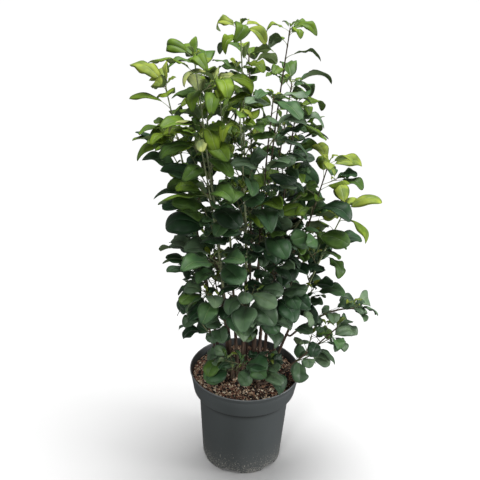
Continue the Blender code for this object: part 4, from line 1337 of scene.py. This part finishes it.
def draw_axis(batch, mass, number, axis, rng):
    """One stem, twig or spur as a smooth tube that swells at its leaves, with a bud at its tip."""
    points = list(axis.points)
    heading = (points[1] - points[0]).normalized()
    points[0] = points[0] - heading * (ROOT_SINK if number == 0 else 0.0)
    thin = axis.radii[0] <= SPUR_RADIUS
    if len(points) == 2:
        bend = Vector([rng.uniform(-1, 1) for _ in range(3)])
        bow = (points[1] - points[0]).length * TWIG_BOW
        middle = points[0].lerp(points[1], 0.5) + (bend - heading * bend.dot(heading)) * bow
        points = [points[0], middle, points[1]]
    first = axis.radii[0] * (1.0 if thin else STEM_DRAWN if number == 0 else TWIG_DRAWN)
    last = axis.radii[-1] * (SPUR_TIP_DRAWN if thin else TIP_DRAWN)
    line, sizes = smooth_line(points, np.linspace(first, last, len(points)), DRAWN_STEP)
    for own, share in mass.roots:
        if own is axis:
            place = np.array(point_at(axis.points, share)[0])
            gap = np.linalg.norm(line - place, axis=1) / NODE_LENGTH
            sizes = sizes * (1.0 + NODE_SWELL * np.exp(-(gap**2)))
    young = mass.tone > PALE_WOOD_TONE or rng.random() < mass.tone * PALE_WOOD_CHANCE
    slot = OLIVE if thin or number else (PALE if young else BROWN)
    add_tube(batch, line, sizes, SPUR_SIDES if thin else TWIG_SIDES, slot)
    along = (axis.points[-1] - axis.points[-2]).normalized()
    add_bud(batch, axis.points[-1] - along * BUD_INSET, along, rng.uniform(*TIP_BUD), BUD_RED)


def draw_stems(crown, batch):
    """Every stem, twig and spur, and the pale cluster of buds at the tip that is nearest its place."""
    for mass in crown.masses:
        rng = random.Random("bark of " + mass.name)
        for number, axis in enumerate(mass.axes):
            draw_axis(batch, mass, number, axis, rng)
    tips = [axis.points[-1] for mass in crown.masses for axis in mass.axes]
    tip = min(tips, key=lambda point: (point - Vector(CLUSTER_AT)).length)
    rng = random.Random("bud cluster")
    for _ in range(CLUSTER_BUDS):
        along = direction(rng.uniform(0.0, math.tau), rng.uniform(*CLUSTER_RISE))
        add_bud(batch, tip - along * BUD_INSET, along, rng.uniform(*CLUSTER_BUD), PALE)


def bark_piece(name, axis, material):
    """A limb with the relief of its bark: low ridges, grain, and a bud scar now and then."""
    rng = random.Random("bark of " + name)
    line, sizes = smooth_line(axis.points, axis.radii, BARK_STEP)
    turns = np.arange(BARK_SIDES) * math.tau / BARK_SIDES
    run = np.concatenate([[0.0], np.cumsum(np.linalg.norm(np.diff(line, axis=0), axis=1))])
    phase = rng.uniform(0.0, math.tau)
    ridges = np.sin(BARK_RIDGES * turns[None] + phase + RIDGE_TWIST * run[:, None])
    relief = 1.0 + BARK_RIDGE * ridges
    seed = Vector([rng.uniform(*GRAIN_SEEDS) for _ in range(3)])
    for row, along in enumerate(run):
        for column, turn in enumerate(turns):
            x, y = math.cos(turn) * GRAIN_AROUND, math.sin(turn) * GRAIN_AROUND
            relief[row, column] += BARK_GRAIN * noise.noise(Vector((x, y, along * GRAIN_ALONG)) + seed)
    place = rng.uniform(SCAR_FIRST, SCAR_SPACING)
    turn = rng.uniform(0.0, math.tau)
    scars = []
    while place < run[-1] - SCAR_END:
        gap = (run - place) / SCAR_LENGTH
        facing = 0.5 + 0.5 * np.cos(turns - turn)
        relief += SCAR_SWELL * np.exp(-(gap**2))[:, None] * (SCAR_AROUND + facing[None] ** 2)
        scars.append((place, turn))
        place += SCAR_SPACING * rng.uniform(*SCAR_RANGE)
        turn += GOLDEN_ANGLE
    batch = Batch()
    add_tube(batch, line, sizes, BARK_SIDES, 0, relief)
    across, up = line_frames(line)
    for place, turn in scars[::2]:
        row = int(np.argmin(np.abs(run - place)))
        out = Vector(across[row]) * math.cos(turn) + Vector(up[row]) * math.sin(turn)
        along = Vector(line[min(row + 1, len(line) - 1)] - line[row - 1]).normalized()
        root = Vector(line[row]) + out * float(sizes[row]) * BARK_BUD_SINK
        add_bud(batch, root, (along + out * BARK_BUD_LEAN).normalized(), BARK_BUD, 0)
    return batch.build("bark_" + name, [material])


def new_material(name, roughness, specular=0.5):
    """A material with its node tree and its shader."""
    made = bpy.data.materials.new(name)
    made.use_nodes = True
    shader = made.node_tree.nodes["Principled BSDF"]
    shader.inputs["Roughness"].default_value = roughness
    shader.inputs["Specular IOR Level"].default_value = specular
    return made, made.node_tree, shader


def add_node(tree, kind, inputs):
    """A shader node with its inputs, by name or number, each from a socket or a value."""
    node = tree.nodes.new("ShaderNode" + kind)
    for name, given in inputs.items():
        if isinstance(given, bpy.types.NodeSocket):
            tree.links.new(given, node.inputs[name])
        else:
            node.inputs[name].default_value = given
    return node


def noise_of(tree, scale, detail, stretch=None):
    """Noise in object coordinates, with another scale along Z where asked."""
    source = add_node(tree, "TexCoord", {}).outputs["Object"]
    if stretch:
        source = add_node(tree, "Mapping", {"Vector": source, "Scale": (1.0, 1.0, stretch)}).outputs["Vector"]
    return add_node(tree, "TexNoise", {"Vector": source, "Scale": scale, "Detail": detail}).outputs["Fac"]


def add_bump(tree, shader, height, distance, strength=1.0):
    """Bumps of a height in metres on a material's surface."""
    bump = add_node(tree, "Bump", {"Height": height, "Distance": distance, "Strength": strength})
    tree.links.new(bump.outputs["Normal"], shader.inputs["Normal"])


def ramp(tree, source, stops):
    """A colour ramp over (place, colour) stops."""
    made = add_node(tree, "ValToRGB", {"Fac": source})
    elements = made.color_ramp.elements
    while len(elements) < len(stops):
        elements.new(0.5)
    for element, (place, colour) in zip(elements, stops):
        element.position = place
        element.color = (*colour, 1.0)
    return made.outputs["Color"]


# The sockets of a mix of colours, by number
MIX_SHARE, MIX_FIRST, MIX_SECOND, MIX_RESULT = 0, 6, 7, 2


def mix(tree, share, first, second):
    """A mix of the colour in a socket with a second one, which is a colour or a socket too."""
    node = tree.nodes.new("ShaderNodeMix")
    node.data_type = "RGBA"
    tree.links.new(share, node.inputs[MIX_SHARE])
    tree.links.new(first, node.inputs[MIX_FIRST])
    if isinstance(second, bpy.types.NodeSocket):
        tree.links.new(second, node.inputs[MIX_SECOND])
    else:
        node.inputs[MIX_SECOND].default_value = (*second, 1.0)
    return node.outputs[MIX_RESULT]


def spread(tree, source, low, high):
    """0 where a value is low, 1 where it is high."""
    return add_node(tree, "MapRange", {"Value": source, "From Min": low, "From Max": high}).outputs["Result"]


def height_share(tree, low, high):
    """0 at a height of low, 1 at high."""
    place = add_node(tree, "TexCoord", {}).outputs["Object"]
    return spread(tree, add_node(tree, "SeparateXYZ", {"Vector": place}).outputs["Z"], low, high)


def math_node(tree, operation, first, second):
    """A sum, product or the like of two values or sockets."""
    node = add_node(tree, "Math", {0: first, 1: second})
    node.operation = operation
    return node.outputs["Value"]


def plain(name, colour, roughness, height, grain=FINE_NOISE):
    """A material of one base colour, with a fine grain of a height in metres."""
    made, tree, shader = new_material(name, roughness)
    shader.inputs["Base Color"].default_value = (*colour, 1.0)
    add_bump(tree, shader, noise_of(tree, *grain), height)
    return made


def leaf_green(name, colour, freshness):
    """A leaf's upper face: its green in faint clouds, and a sheen and gloss that old leaves show more."""
    made, tree, shader = new_material(name, LEAF_ROUGHNESS, between(LEAF_GLOSS, freshness))
    shader.inputs["Sheen Weight"].default_value = between(LEAF_SHEEN, freshness)
    shader.inputs["Sheen Roughness"].default_value = SHEEN_ROUGHNESS
    shader.inputs["Sheen Tint"].default_value = (*SHEEN_TINT, 1.0)
    low = [channel * between(CLOUD_DARK, freshness) for channel in colour]
    high = [channel * between(ends, freshness) for channel, ends in zip(colour, CLOUD_LIGHT)]
    stops = list(zip(CLOUD_PLACES, (low, high)))
    clouds = ramp(tree, noise_of(tree, *CLOUD_NOISE), stops)
    tree.links.new(clouds, shader.inputs["Base Color"])
    add_bump(tree, shader, noise_of(tree, *FINE_NOISE), LEAF_GRAIN_HEIGHT)
    return made


def bark_material():
    """Bark: dark reddish brown and streaked low down, greener towards the leafy end."""
    made, tree, shader = new_material("cane bark", *BARK_FINISH)
    streaks = noise_of(tree, *BARK_STREAKS)
    share = math_node(tree, "ADD", height_share(tree, *NEW_BARK_SPAN), noise_of(tree, *BARK_WANDER))
    share = math_node(tree, "SUBTRACT", share, 0.5)
    colour = mix(tree, share, ramp(tree, streaks, OLD_BARK), ramp(tree, streaks, NEW_BARK))
    tree.links.new(colour, shader.inputs["Base Color"])
    add_bump(tree, shader, noise_of(tree, *BARK_FINE), *BARK_BUMP)
    return made


def pot_material():
    """Moulded grey plastic: faint clouds, fine grain, dust and dried soil near the foot, and, by height, a
    painted shadow at the foot and under the band and a painted highlight on the lip.
    """
    made, tree, shader = new_material("pot plastic", *POT_FINISH)
    band_foot = POT_HEIGHT - BAND_HEIGHT

    def product(first, second):
        return math_node(tree, "MULTIPLY", first, second)

    def beyond(start, span):
        return height_share(tree, start + span[0], start + span[1])

    def rest_of(share):
        return math_node(tree, "SUBTRACT", 1.0, share)

    colour = ramp(tree, noise_of(tree, *POT_CLOUDS), PLASTIC)
    low = rest_of(beyond(0.0, DUST_SPAN))
    dust = product(math_node(tree, "POWER", low, DUST_FADE), noise_of(tree, *POT_FILM))
    colour = mix(tree, product(dust, DUST_MOST), colour, DUST_COLOUR)
    level = math_node(tree, "SUBTRACT", FLECK_LEVEL, product(low, FLECK_MORE))
    over = math_node(tree, "SUBTRACT", noise_of(tree, *POT_SPOTS), level)
    colour = mix(tree, spread(tree, over, 0.0, FLECK_EDGE), colour, FLECK_COLOUR)
    # A painted shadow along the foot
    colour = mix(tree, rest_of(beyond(0.0, FOOT_SHADOW_SPAN)), colour, SHADE_COLOUR)
    # A painted shadow on the body under the band
    under = math_node(tree, "POWER", beyond(band_foot, BAND_SHADOW_SPAN), BAND_SHADOW_FADE)
    shade = product(product(under, rest_of(beyond(band_foot, BAND_SHADOW_STOP))), UNDER_SHADE)
    colour = mix(tree, shade, colour, SHADE_COLOUR)
    # A painted highlight along the lip
    colour = mix(tree, product(beyond(POT_HEIGHT, LIP_HIGHLIGHT_SPAN), LIP_HIGHLIGHT_SHARE), colour, LIP_HIGHLIGHT_COLOUR)
    tree.links.new(colour, shader.inputs["Base Color"])
    add_bump(tree, shader, noise_of(tree, *POT_GRAIN), *POT_BUMP)
    return made


def soil_material():
    """Moist peat between the grains."""
    made, tree, shader = new_material("potting mix", *SOIL_FINISH)
    grains = noise_of(tree, *SOIL_NOISE)
    tree.links.new(ramp(tree, grains, SOIL_COLOURS), shader.inputs["Base Color"])
    add_bump(tree, shader, grains, *SOIL_BUMP)
    return made


def apply_modifiers(body):
    """Makes what a body's modifiers show its own mesh, shaded smooth."""
    bpy.context.view_layer.update()
    graph = bpy.context.evaluated_depsgraph_get()
    mesh = bpy.data.meshes.new_from_object(body.evaluated_get(graph))
    body.modifiers.clear()
    body.data = mesh
    for polygon in mesh.polygons:
        polygon.use_smooth = True


def turned(name, profile, steps, material):
    """A closed body turned round the Z axis from its outline in the XZ plane."""
    mesh = bpy.data.meshes.new(name)
    mesh.from_pydata([(x, 0.0, z) for x, z in profile], [(i, i + 1) for i in range(len(profile) - 1)], [])
    body = add_object(name, mesh)
    screw = body.modifiers.new("turn", "SCREW")
    screw.steps = steps
    screw.render_steps = steps
    screw.use_merge_vertices = True
    screw.merge_threshold = MERGE_WITHIN
    apply_modifiers(body)
    body.data.materials.clear()
    body.data.materials.append(material)
    return body


def body_radius(height):
    """The pot body's outer radius at a height below the band."""
    top = POT_HEIGHT - BAND_HEIGHT - LEDGE_DROP
    return FOOT_RADIUS + (BODY_TOP_RADIUS - FOOT_RADIUS) * height / top


def band_radius(height):
    """The rim band's outer radius at a height."""
    return between((BAND_FOOT_RADIUS, RIM_RADIUS), (height - POT_HEIGHT + BAND_HEIGHT) / BAND_HEIGHT)


def pot_profile():
    """The pot's outline: up the inside, over the lip, down the band and the body, and in under the foot."""
    floor = DRAIN_HEIGHT + WALL
    band_foot = POT_HEIGHT - BAND_HEIGHT
    ledge = band_foot - LEDGE_DROP
    top = POT_HEIGHT
    line = top - LINE_DROP
    groove = band_radius(line) - LINE_DEPTH
    profile = [(0.0, floor), (body_radius(floor) - WALL, floor), (body_radius(ledge) - WALL, ledge + WALL)]
    profile += [(BAND_FOOT_RADIUS - WALL, band_foot + WALL)]
    profile += [(band_radius(top - LIP_DEPTH) - WALL, top - LIP_DEPTH)]
    profile += [(RIM_RADIUS + out, top - down) for out, down in LIP_OUTLINE]
    profile += [(band_radius(z), z) for z in (top - LIP_DEPTH, top - LIP_STEP, line + LINE_HALF)]
    profile += [(groove, line + LINE_FLAT), (groove, line - LINE_FLAT)]
    profile += [(band_radius(z), z) for z in (line - LINE_HALF, *(band_foot + up for up in BAND_LOWER))]
    profile += [(band_radius(band_foot + BAND_ROUND[0]) - BAND_ROUND[1], band_foot + BAND_ROUND[0])]
    profile += [(BAND_FOOT_RADIUS + out, band_foot + up) for out, up in BAND_EDGE]
    profile += [(body_radius(ledge) + out, band_foot + up) for out, up in NECK]
    profile += [(body_radius(z), z) for z in (*(ledge - down for down in BODY_UPPER), *BODY_HEIGHTS)]
    profile += [(body_radius(z) - inset, z) for inset, z in FOOT_EDGE]
    profile += [(FOOT_RADIUS - inset, z) for inset, z in FOOT_UNDER]
    return profile + [(0.0, 0.0)]


def slot_cutter(index):
    """The body that cuts one draining slot."""
    turn = DRAIN_TURN + math.tau * index / DRAIN_SLOTS
    made = bmesh.new()
    bmesh.ops.create_cube(made, size=1.0)
    bmesh.ops.bevel(made, geom=made.edges[:], offset=SLOT_ROUND, segments=SLOT_ROUND_STEPS, affect="EDGES")
    place = Matrix.Translation((math.cos(turn) * FOOT_RADIUS, math.sin(turn) * FOOT_RADIUS, 0.0))
    place = place @ Matrix.Rotation(turn, 4, "Z")
    place = place @ Matrix.Diagonal((2.0 * DRAIN_DEPTH, DRAIN_WIDTH, 2.0 * DRAIN_HEIGHT, 1.0))
    bmesh.ops.transform(made, matrix=place, verts=made.verts)
    mesh = bpy.data.meshes.new("slot")
    made.to_mesh(mesh)
    made.free()
    return add_object("slot" + str(index), mesh)


def pot_piece(material):
    """The pot with its rolled lip, moulded line, rounded band, hollow step and draining slots."""
    pot = turned("nursery_pot", pot_profile(), POT_STEPS, material)
    cutters = [slot_cutter(index) for index in range(DRAIN_SLOTS)]
    for cutter in cutters:
        cut = pot.modifiers.new("cut " + cutter.name, "BOOLEAN")
        cut.operation = "DIFFERENCE"
        cut.object = cutter
        cut.solver = "EXACT"
    apply_modifiers(pot)
    for cutter in cutters:
        bpy.data.objects.remove(cutter, do_unlink=True)
    pot.data.set_sharp_from_angle(angle=SHARP_EDGE)
    return pot


def soil_height(x, y):
    """The height of the mix at a place, with its lumps."""
    edge = progress(math.hypot(x, y), SOIL_FLAT_RADIUS, RIM_RADIUS)
    lump = sum(noise.noise(Vector((x * scale, y * scale, seed))) * size for scale, seed, size in SOIL_LUMPS)
    return SOIL_TOP - SOIL_EDGE_DROP * edge + lump - SOIL_SINK


def soil_piece(material):
    """The filling of the pot, with a lumpy top."""
    floor = DRAIN_HEIGHT + WALL
    band_foot = POT_HEIGHT - BAND_HEIGHT
    ledge = band_foot - LEDGE_DROP
    edge = SOIL_TOP - SOIL_EDGE_DROP
    wall = band_radius(edge) - WALL
    profile = [(wall * step / SOIL_RINGS, SOIL_TOP) for step in range(SOIL_RINGS)]
    profile += [
        (wall - GAP, edge),
        (BAND_FOOT_RADIUS - WALL - GAP * 2, band_foot + WALL + GAP),
        (body_radius(ledge) - WALL - GAP * 2, ledge + WALL + GAP),
        (body_radius(floor) - WALL - GAP * 2, floor + GAP),
        (0.0, floor + GAP),
    ]
    soil = turned("soil_bed", profile, SOIL_STEPS, material)
    for vertex in soil.data.vertices:
        if vertex.co.z >= edge - SOIL_SKIN:
            vertex.co.z = soil_height(vertex.co.x, vertex.co.y)
    return soil


CHIP_FACES = np.array([(0, 1, 3, 2), (4, 6, 7, 5), (0, 4, 5, 1), (2, 3, 7, 6), (0, 2, 6, 4), (1, 5, 7, 3)])


def chip_corners(rng, size, flat):
    """The eight corners of an irregular chip, turned any way."""
    corners = []
    for signs in np.ndindex(2, 2, 2):
        ahead, across, up = (2 * sign - 1 for sign in signs)
        push = 1.0 - CHIP_DENT * rng.random()
        length = rng.uniform(*CHIP_LENGTH)
        corners.append((ahead * push * length, across * push * CHIP_WIDTH, up * push * flat))
    spin = Matrix.Rotation(rng.uniform(0, math.tau), 3, "Z")
    tip, lean = (Matrix.Rotation(rng.gauss(0.0, CHIP_TILT), 3, side) for side in "XY")
    return np.array(corners) @ np.array(spin @ (tip @ lean)).T * size


def lay_chip(batch, corners, x, y, lift, kind):
    """Puts a chip on the mix, with its middle a little above the surface there."""
    batch.add(corners + np.array([x, y, soil_height(x, y) + lift]), (CHIP_FACES, kind))


def chips_piece():
    """Bark, grit and fibre on the mix, with the cream chips and the pale stick that the photo shows."""
    rng = random.Random("grains of the mix")
    batch = Batch()
    limit = band_radius(SOIL_TOP) - WALL - CHIP_INSET
    for _ in range(CHIP_COUNT):
        across = limit * math.sqrt(rng.random())
        turn = rng.uniform(0.0, math.tau)
        size = rng.uniform(*CHIP_SIZE) * (CHIP_LEAST + CHIP_MORE * rng.random() ** 2)
        kind = rng.choices(range(len(CHIP_COLOURS)), CHIP_SHARES)[0]
        size *= PALE_CHIP_SIZE if kind >= PALE_CHIPS_FROM else DARK_CHIP_SIZE
        size = min(size, (limit - across) * CHIP_ROOM + CHIP_SMALLEST)
        corners = chip_corners(rng, size, rng.uniform(*CHIP_FLATNESS))
        lift = size * rng.uniform(*CHIP_LIFT)
        lay_chip(batch, corners, across * math.cos(turn), across * math.sin(turn), lift, kind)
    for x, y, size in LARGE_CHIPS:
        corners = chip_corners(rng, size, LARGE_CHIP_FLATNESS)
        lay_chip(batch, corners, x, y, size * LARGE_CHIP_LIFT, CREAM)
    add_tube(batch, np.array(STICK), np.array(STICK_RADII), STICK_SIDES, CREAM)
    materials = [plain("grain " + str(index), colour, CHIP_ROUGHNESS, CHIP_GRAIN_HEIGHT, CHIP_NOISE)
                 for index, colour in enumerate(CHIP_COLOURS)]
    return batch.build("soil_grains", materials, smooth=False)


def tone_of(mass, axis, share, length, rng):
    """A leaf's green, by its mass and height: fresher near the tip of its shoot and where it is small."""
    height = point_at(axis.points, share)[0].z
    level = mass.tone * TONE_STEPS + (share - EVEN_SHARE) * TIP_FRESHNESS + rng.gauss(0.0, TONE_SPREAD)
    level -= max(0.0, length - GROWN_LENGTH) * SIZE_AGING * mass.tone
    level += LIGHTER_MASSES.get(mass.name, 0.0)
    level -= max(0.0, OLD_BELOW - height) * AGING * mass.tone
    if height > YOUNG_ABOVE:
        level = max(level, mass.tone * YOUNGEST_SHADE)
    level = min(level, FRESH_MOST + FRESH_RISE * max(0.0, height - FRESH_ABOVE))
    if height < LOW_BELOW:
        level += LOW_LIGHTER
    if axis.radii[0] <= SPUR_RADIUS:
        level -= SPUR_AGE
    if axis is mass.axes[0]:
        level += YOUNG_ENDS.get(mass.name, 0.0) * progress(share, ENDS_FROM, 1.0)
    if mass.tone > PALE_TONE and height > PALE_ABOVE and rng.random() < PALE_SHARE:
        return PALE_SLOT
    # Some leaves take a grey-green that is partly painted sheen
    soft = SOFT_MASSES.get(mass.name, SOFT_SHARE if mass.tone < SOFT_BELOW else 0.0)
    if rng.random() < soft and level < SOFT_LEVEL:
        return len(GREENS) + max(0, min(len(SOFT_SHEEN_GREENS) - 1, round(level - SOFT_FROM)))
    return max(0, min(len(GREENS) - 1, round(level)))


def leaf_slots(green):
    """The material slots of a leaf's green, vein, underside and stalk, which are old, grown or young."""
    if green < len(GREENS):
        age = 0 if green < GROWN_FROM else (1 if green < YOUNG_FROM else 2)
    else:
        age = 2 if green == PALE_SLOT else min(1, green - len(GREENS))
    underside = PALE_SLOT + 1 + age
    return green, underside + LEAF_AGES, underside, underside + 2 * LEAF_AGES


def leaf_materials():
    """The materials of the leaves, in the order of their slots."""
    made = []
    for index, colour in enumerate(GREENS):
        made.append(leaf_green("leaf green " + str(index), colour, index / (len(GREENS) - 1)))
    for index, colour in enumerate(SOFT_SHEEN_GREENS):
        made.append(leaf_green("leaf soft green " + str(index), colour, 0.0))
    made.append(leaf_green("leaf pale green", PALE_GREEN, 1.0))
    for part, colours, roughness, height in LEAF_PARTS:
        for age, colour in enumerate(colours):
            made.append(plain("leaf " + part + " " + str(age), colour, roughness, height))
    return made


def posed(leaf):
    """A leaf turned and sized as the photo shows those at its height."""
    height = leaf.root.z
    low = progress(height, *LOW_SPAN)
    high = progress(height, *HIGH_SPAN)
    wider = BLADE_WIDTH + LOW_ROUNDNESS * low - HIGH_SLIMMER * high
    longer = 1.0 + HIGH_LONGER * high - LOW_SHORTER * low
    root_lift, base_lift, tip_lift = leaf.lifts
    front = np.interp(height, FRONT_HEIGHTS, FRONT_SHARES) * max(0.0, -math.sin(leaf.heading))
    base_lift += math.radians(np.interp(height, RAISE_HEIGHTS, BASE_RAISE) + FRONT_BASE_RAISE * front)
    tip_lift += math.radians(np.interp(height, RAISE_HEIGHTS, TIP_RAISE) + FRONT_TIP_RAISE * front)
    lifts = (root_lift, base_lift, min(tip_lift, base_lift - LEAST_ARCH))
    size = CURLED_SIZE if height > CURLED_FROM else 1.0
    return leaf._replace(length=leaf.length * longer * size, width=leaf.width * wider * size, lifts=lifts)


def draw_leaves(batch, mass, tuft):
    """The leaves of a mass and the small ones at its tips, each in its green."""
    rng = random.Random("looks of " + mass.name)
    for leaf, (axis, share) in zip(mass.leaves, mass.roots):
        green = tone_of(mass, axis, share, leaf.length, rng)
        shape = leaf_shape(rng)
        if leaf.root.z > CURLED_FROM:
            shape["fold"] += CURLED_FOLD
            shape["droop"] += CURLED_DROOP
        add_blade(batch, posed(leaf), shape, leaf_slots(green))
    for leaf in tuft:
        green = min(len(GREENS) - 1, tone_of(mass, mass.axes[0], 1.0, leaf.length, rng) + 1)
        add_blade(batch, leaf, leaf_shape(rng, young=True), leaf_slots(green))


def foliage_pieces(crown, tufts):
    """The leaves as joined pieces, by the tone of the masses that they replace."""
    materials = leaf_materials()
    batches, nodes = {}, {}
    for mass in crown.masses:
        slot = LEAF_SLOTS[min(len(LEAF_SLOTS) - 1, int(mass.tone * len(LEAF_SLOTS)))]
        half = ""
        if slot in SPLIT_HEIGHTS:
            half = "_low" if mass.axes[0].points[0].z < SPLIT_HEIGHTS[slot] else "_high"
        draw_leaves(batches.setdefault((slot, half), Batch()), mass, tufts[mass.name])
        nodes.setdefault((slot, half), []).append(mass.name)
    for (slot, half), batch in batches.items():
        name = slot.replace("leaf", "leaves") + half
        piece = batch.build(name, materials)
        print(name, batch.triangles(), "triangles")
        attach(piece, "root")
        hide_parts(*nodes[(slot, half)])


def add_camera():
    """The photograph's view."""
    flat, down = math.cos(CAMERA_PITCH), math.sin(CAMERA_PITCH)
    ahead = Vector((math.sin(CAMERA_YAW) * flat, math.cos(CAMERA_YAW) * flat, -down))
    level = Vector((math.cos(CAMERA_YAW), -math.sin(CAMERA_YAW), 0.0))
    above = level.cross(ahead)
    right = level * math.cos(CAMERA_ROLL) + above * math.sin(CAMERA_ROLL)
    above = above * math.cos(CAMERA_ROLL) - level * math.sin(CAMERA_ROLL)
    data = bpy.data.cameras.new("camera")
    data.lens = CAMERA_LENS
    data.sensor_width = CAMERA_SENSOR
    camera = add_object("camera", data)
    turn = Matrix((right, above, -ahead)).transposed().to_4x4()
    camera.matrix_world = Matrix.Translation(CAMERA_PLACE) @ turn
    bpy.context.scene.camera = camera


def add_floor():
    """A wide pale floor that takes the plant's shadow and throws no light on it."""
    made, _, shader = new_material("studio floor", *FLOOR_FINISH)
    shader.inputs["Base Color"].default_value = (*FLOOR_COLOUR, 1.0)
    mesh = bpy.data.meshes.new("floor")
    grid = bmesh.new()
    bmesh.ops.create_grid(grid, x_segments=1, y_segments=1, size=FLOOR_SIZE)
    grid.to_mesh(mesh)
    grid.free()
    mesh.materials.append(made)
    floor = add_object("floor", mesh)
    floor.visible_diffuse = False
    floor.visible_glossy = False


def aim(light, place, target):
    """Puts a light at a place and turns it to its target."""
    light.location = place
    light.rotation_euler = (Vector(target) - Vector(place)).to_track_quat("-Z", "Y").to_euler()


def add_lights():
    """Soft studio light from above, a little from the right and the front, and a spot on the mix."""
    world = bpy.data.worlds.new("studio")
    bpy.context.scene.world = world
    world.use_nodes = True
    back = world.node_tree.nodes["Background"]
    back.inputs["Color"].default_value = (1.0, 1.0, 1.0, 1.0)
    back.inputs["Strength"].default_value = WORLD_STRENGTH
    bpy.context.scene.view_settings.view_transform = "Standard"
    sun = bpy.data.lights.new("overhead", "SUN")
    sun.energy = SKY_LIGHT
    sun.angle = SKY_SPREAD
    light = add_object("overhead", sun)
    light.rotation_euler = Vector(SKY_FROM).to_track_quat("Z", "Y").to_euler()
    for name, place, target, size, power in AREA_LIGHTS:
        lamp = bpy.data.lights.new(name, "AREA")
        lamp.shape = "RECTANGLE"
        lamp.size, lamp.size_y = size
        lamp.energy = power
        aim(add_object(name, lamp), place, target)
    spot = bpy.data.lights.new("soil spot", "SPOT")
    spot.energy = SPOT_POWER
    spot.spot_size = SPOT_CONE
    spot.spot_blend = 1.0
    spot.shadow_soft_size = SPOT_RADIUS
    aim(add_object("soil spot", spot), SPOT_FROM, SPOT_AT)


def main():
    """The plant grown and dressed, its pot and mix, and the studio round them."""
    limbs, crown = grow_crown()
    grow_spurs(crown)
    tufts = grow_tufts(crown)
    print("leaves", sum(len(mass.leaves) for mass in crown.masses))

    foliage_pieces(crown, tufts)

    stems = Batch()
    draw_stems(crown, stems)
    wood = [plain(*finish, WOOD_GRAIN_HEIGHT) for finish in WOODS]
    piece = stems.build("twigs", wood)
    print("twigs", stems.triangles(), "triangles")
    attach(piece, "root")

    bark = bark_material()
    for name, axis in limbs.items():
        piece = bark_piece(name.replace("cane_", ""), axis, bark)
        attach(piece, "root")
        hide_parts(name)

    for piece, node, slot in (
        (pot_piece(pot_material()), "pot", "pot_plastic"),
        (soil_piece(soil_material()), "potting_mix", "potting_mix"),
    ):
        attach(piece, "root")
        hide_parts(node)
    piece = chips_piece()
    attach(piece, "root")

    add_camera()
    add_floor()
    add_lights()


main()
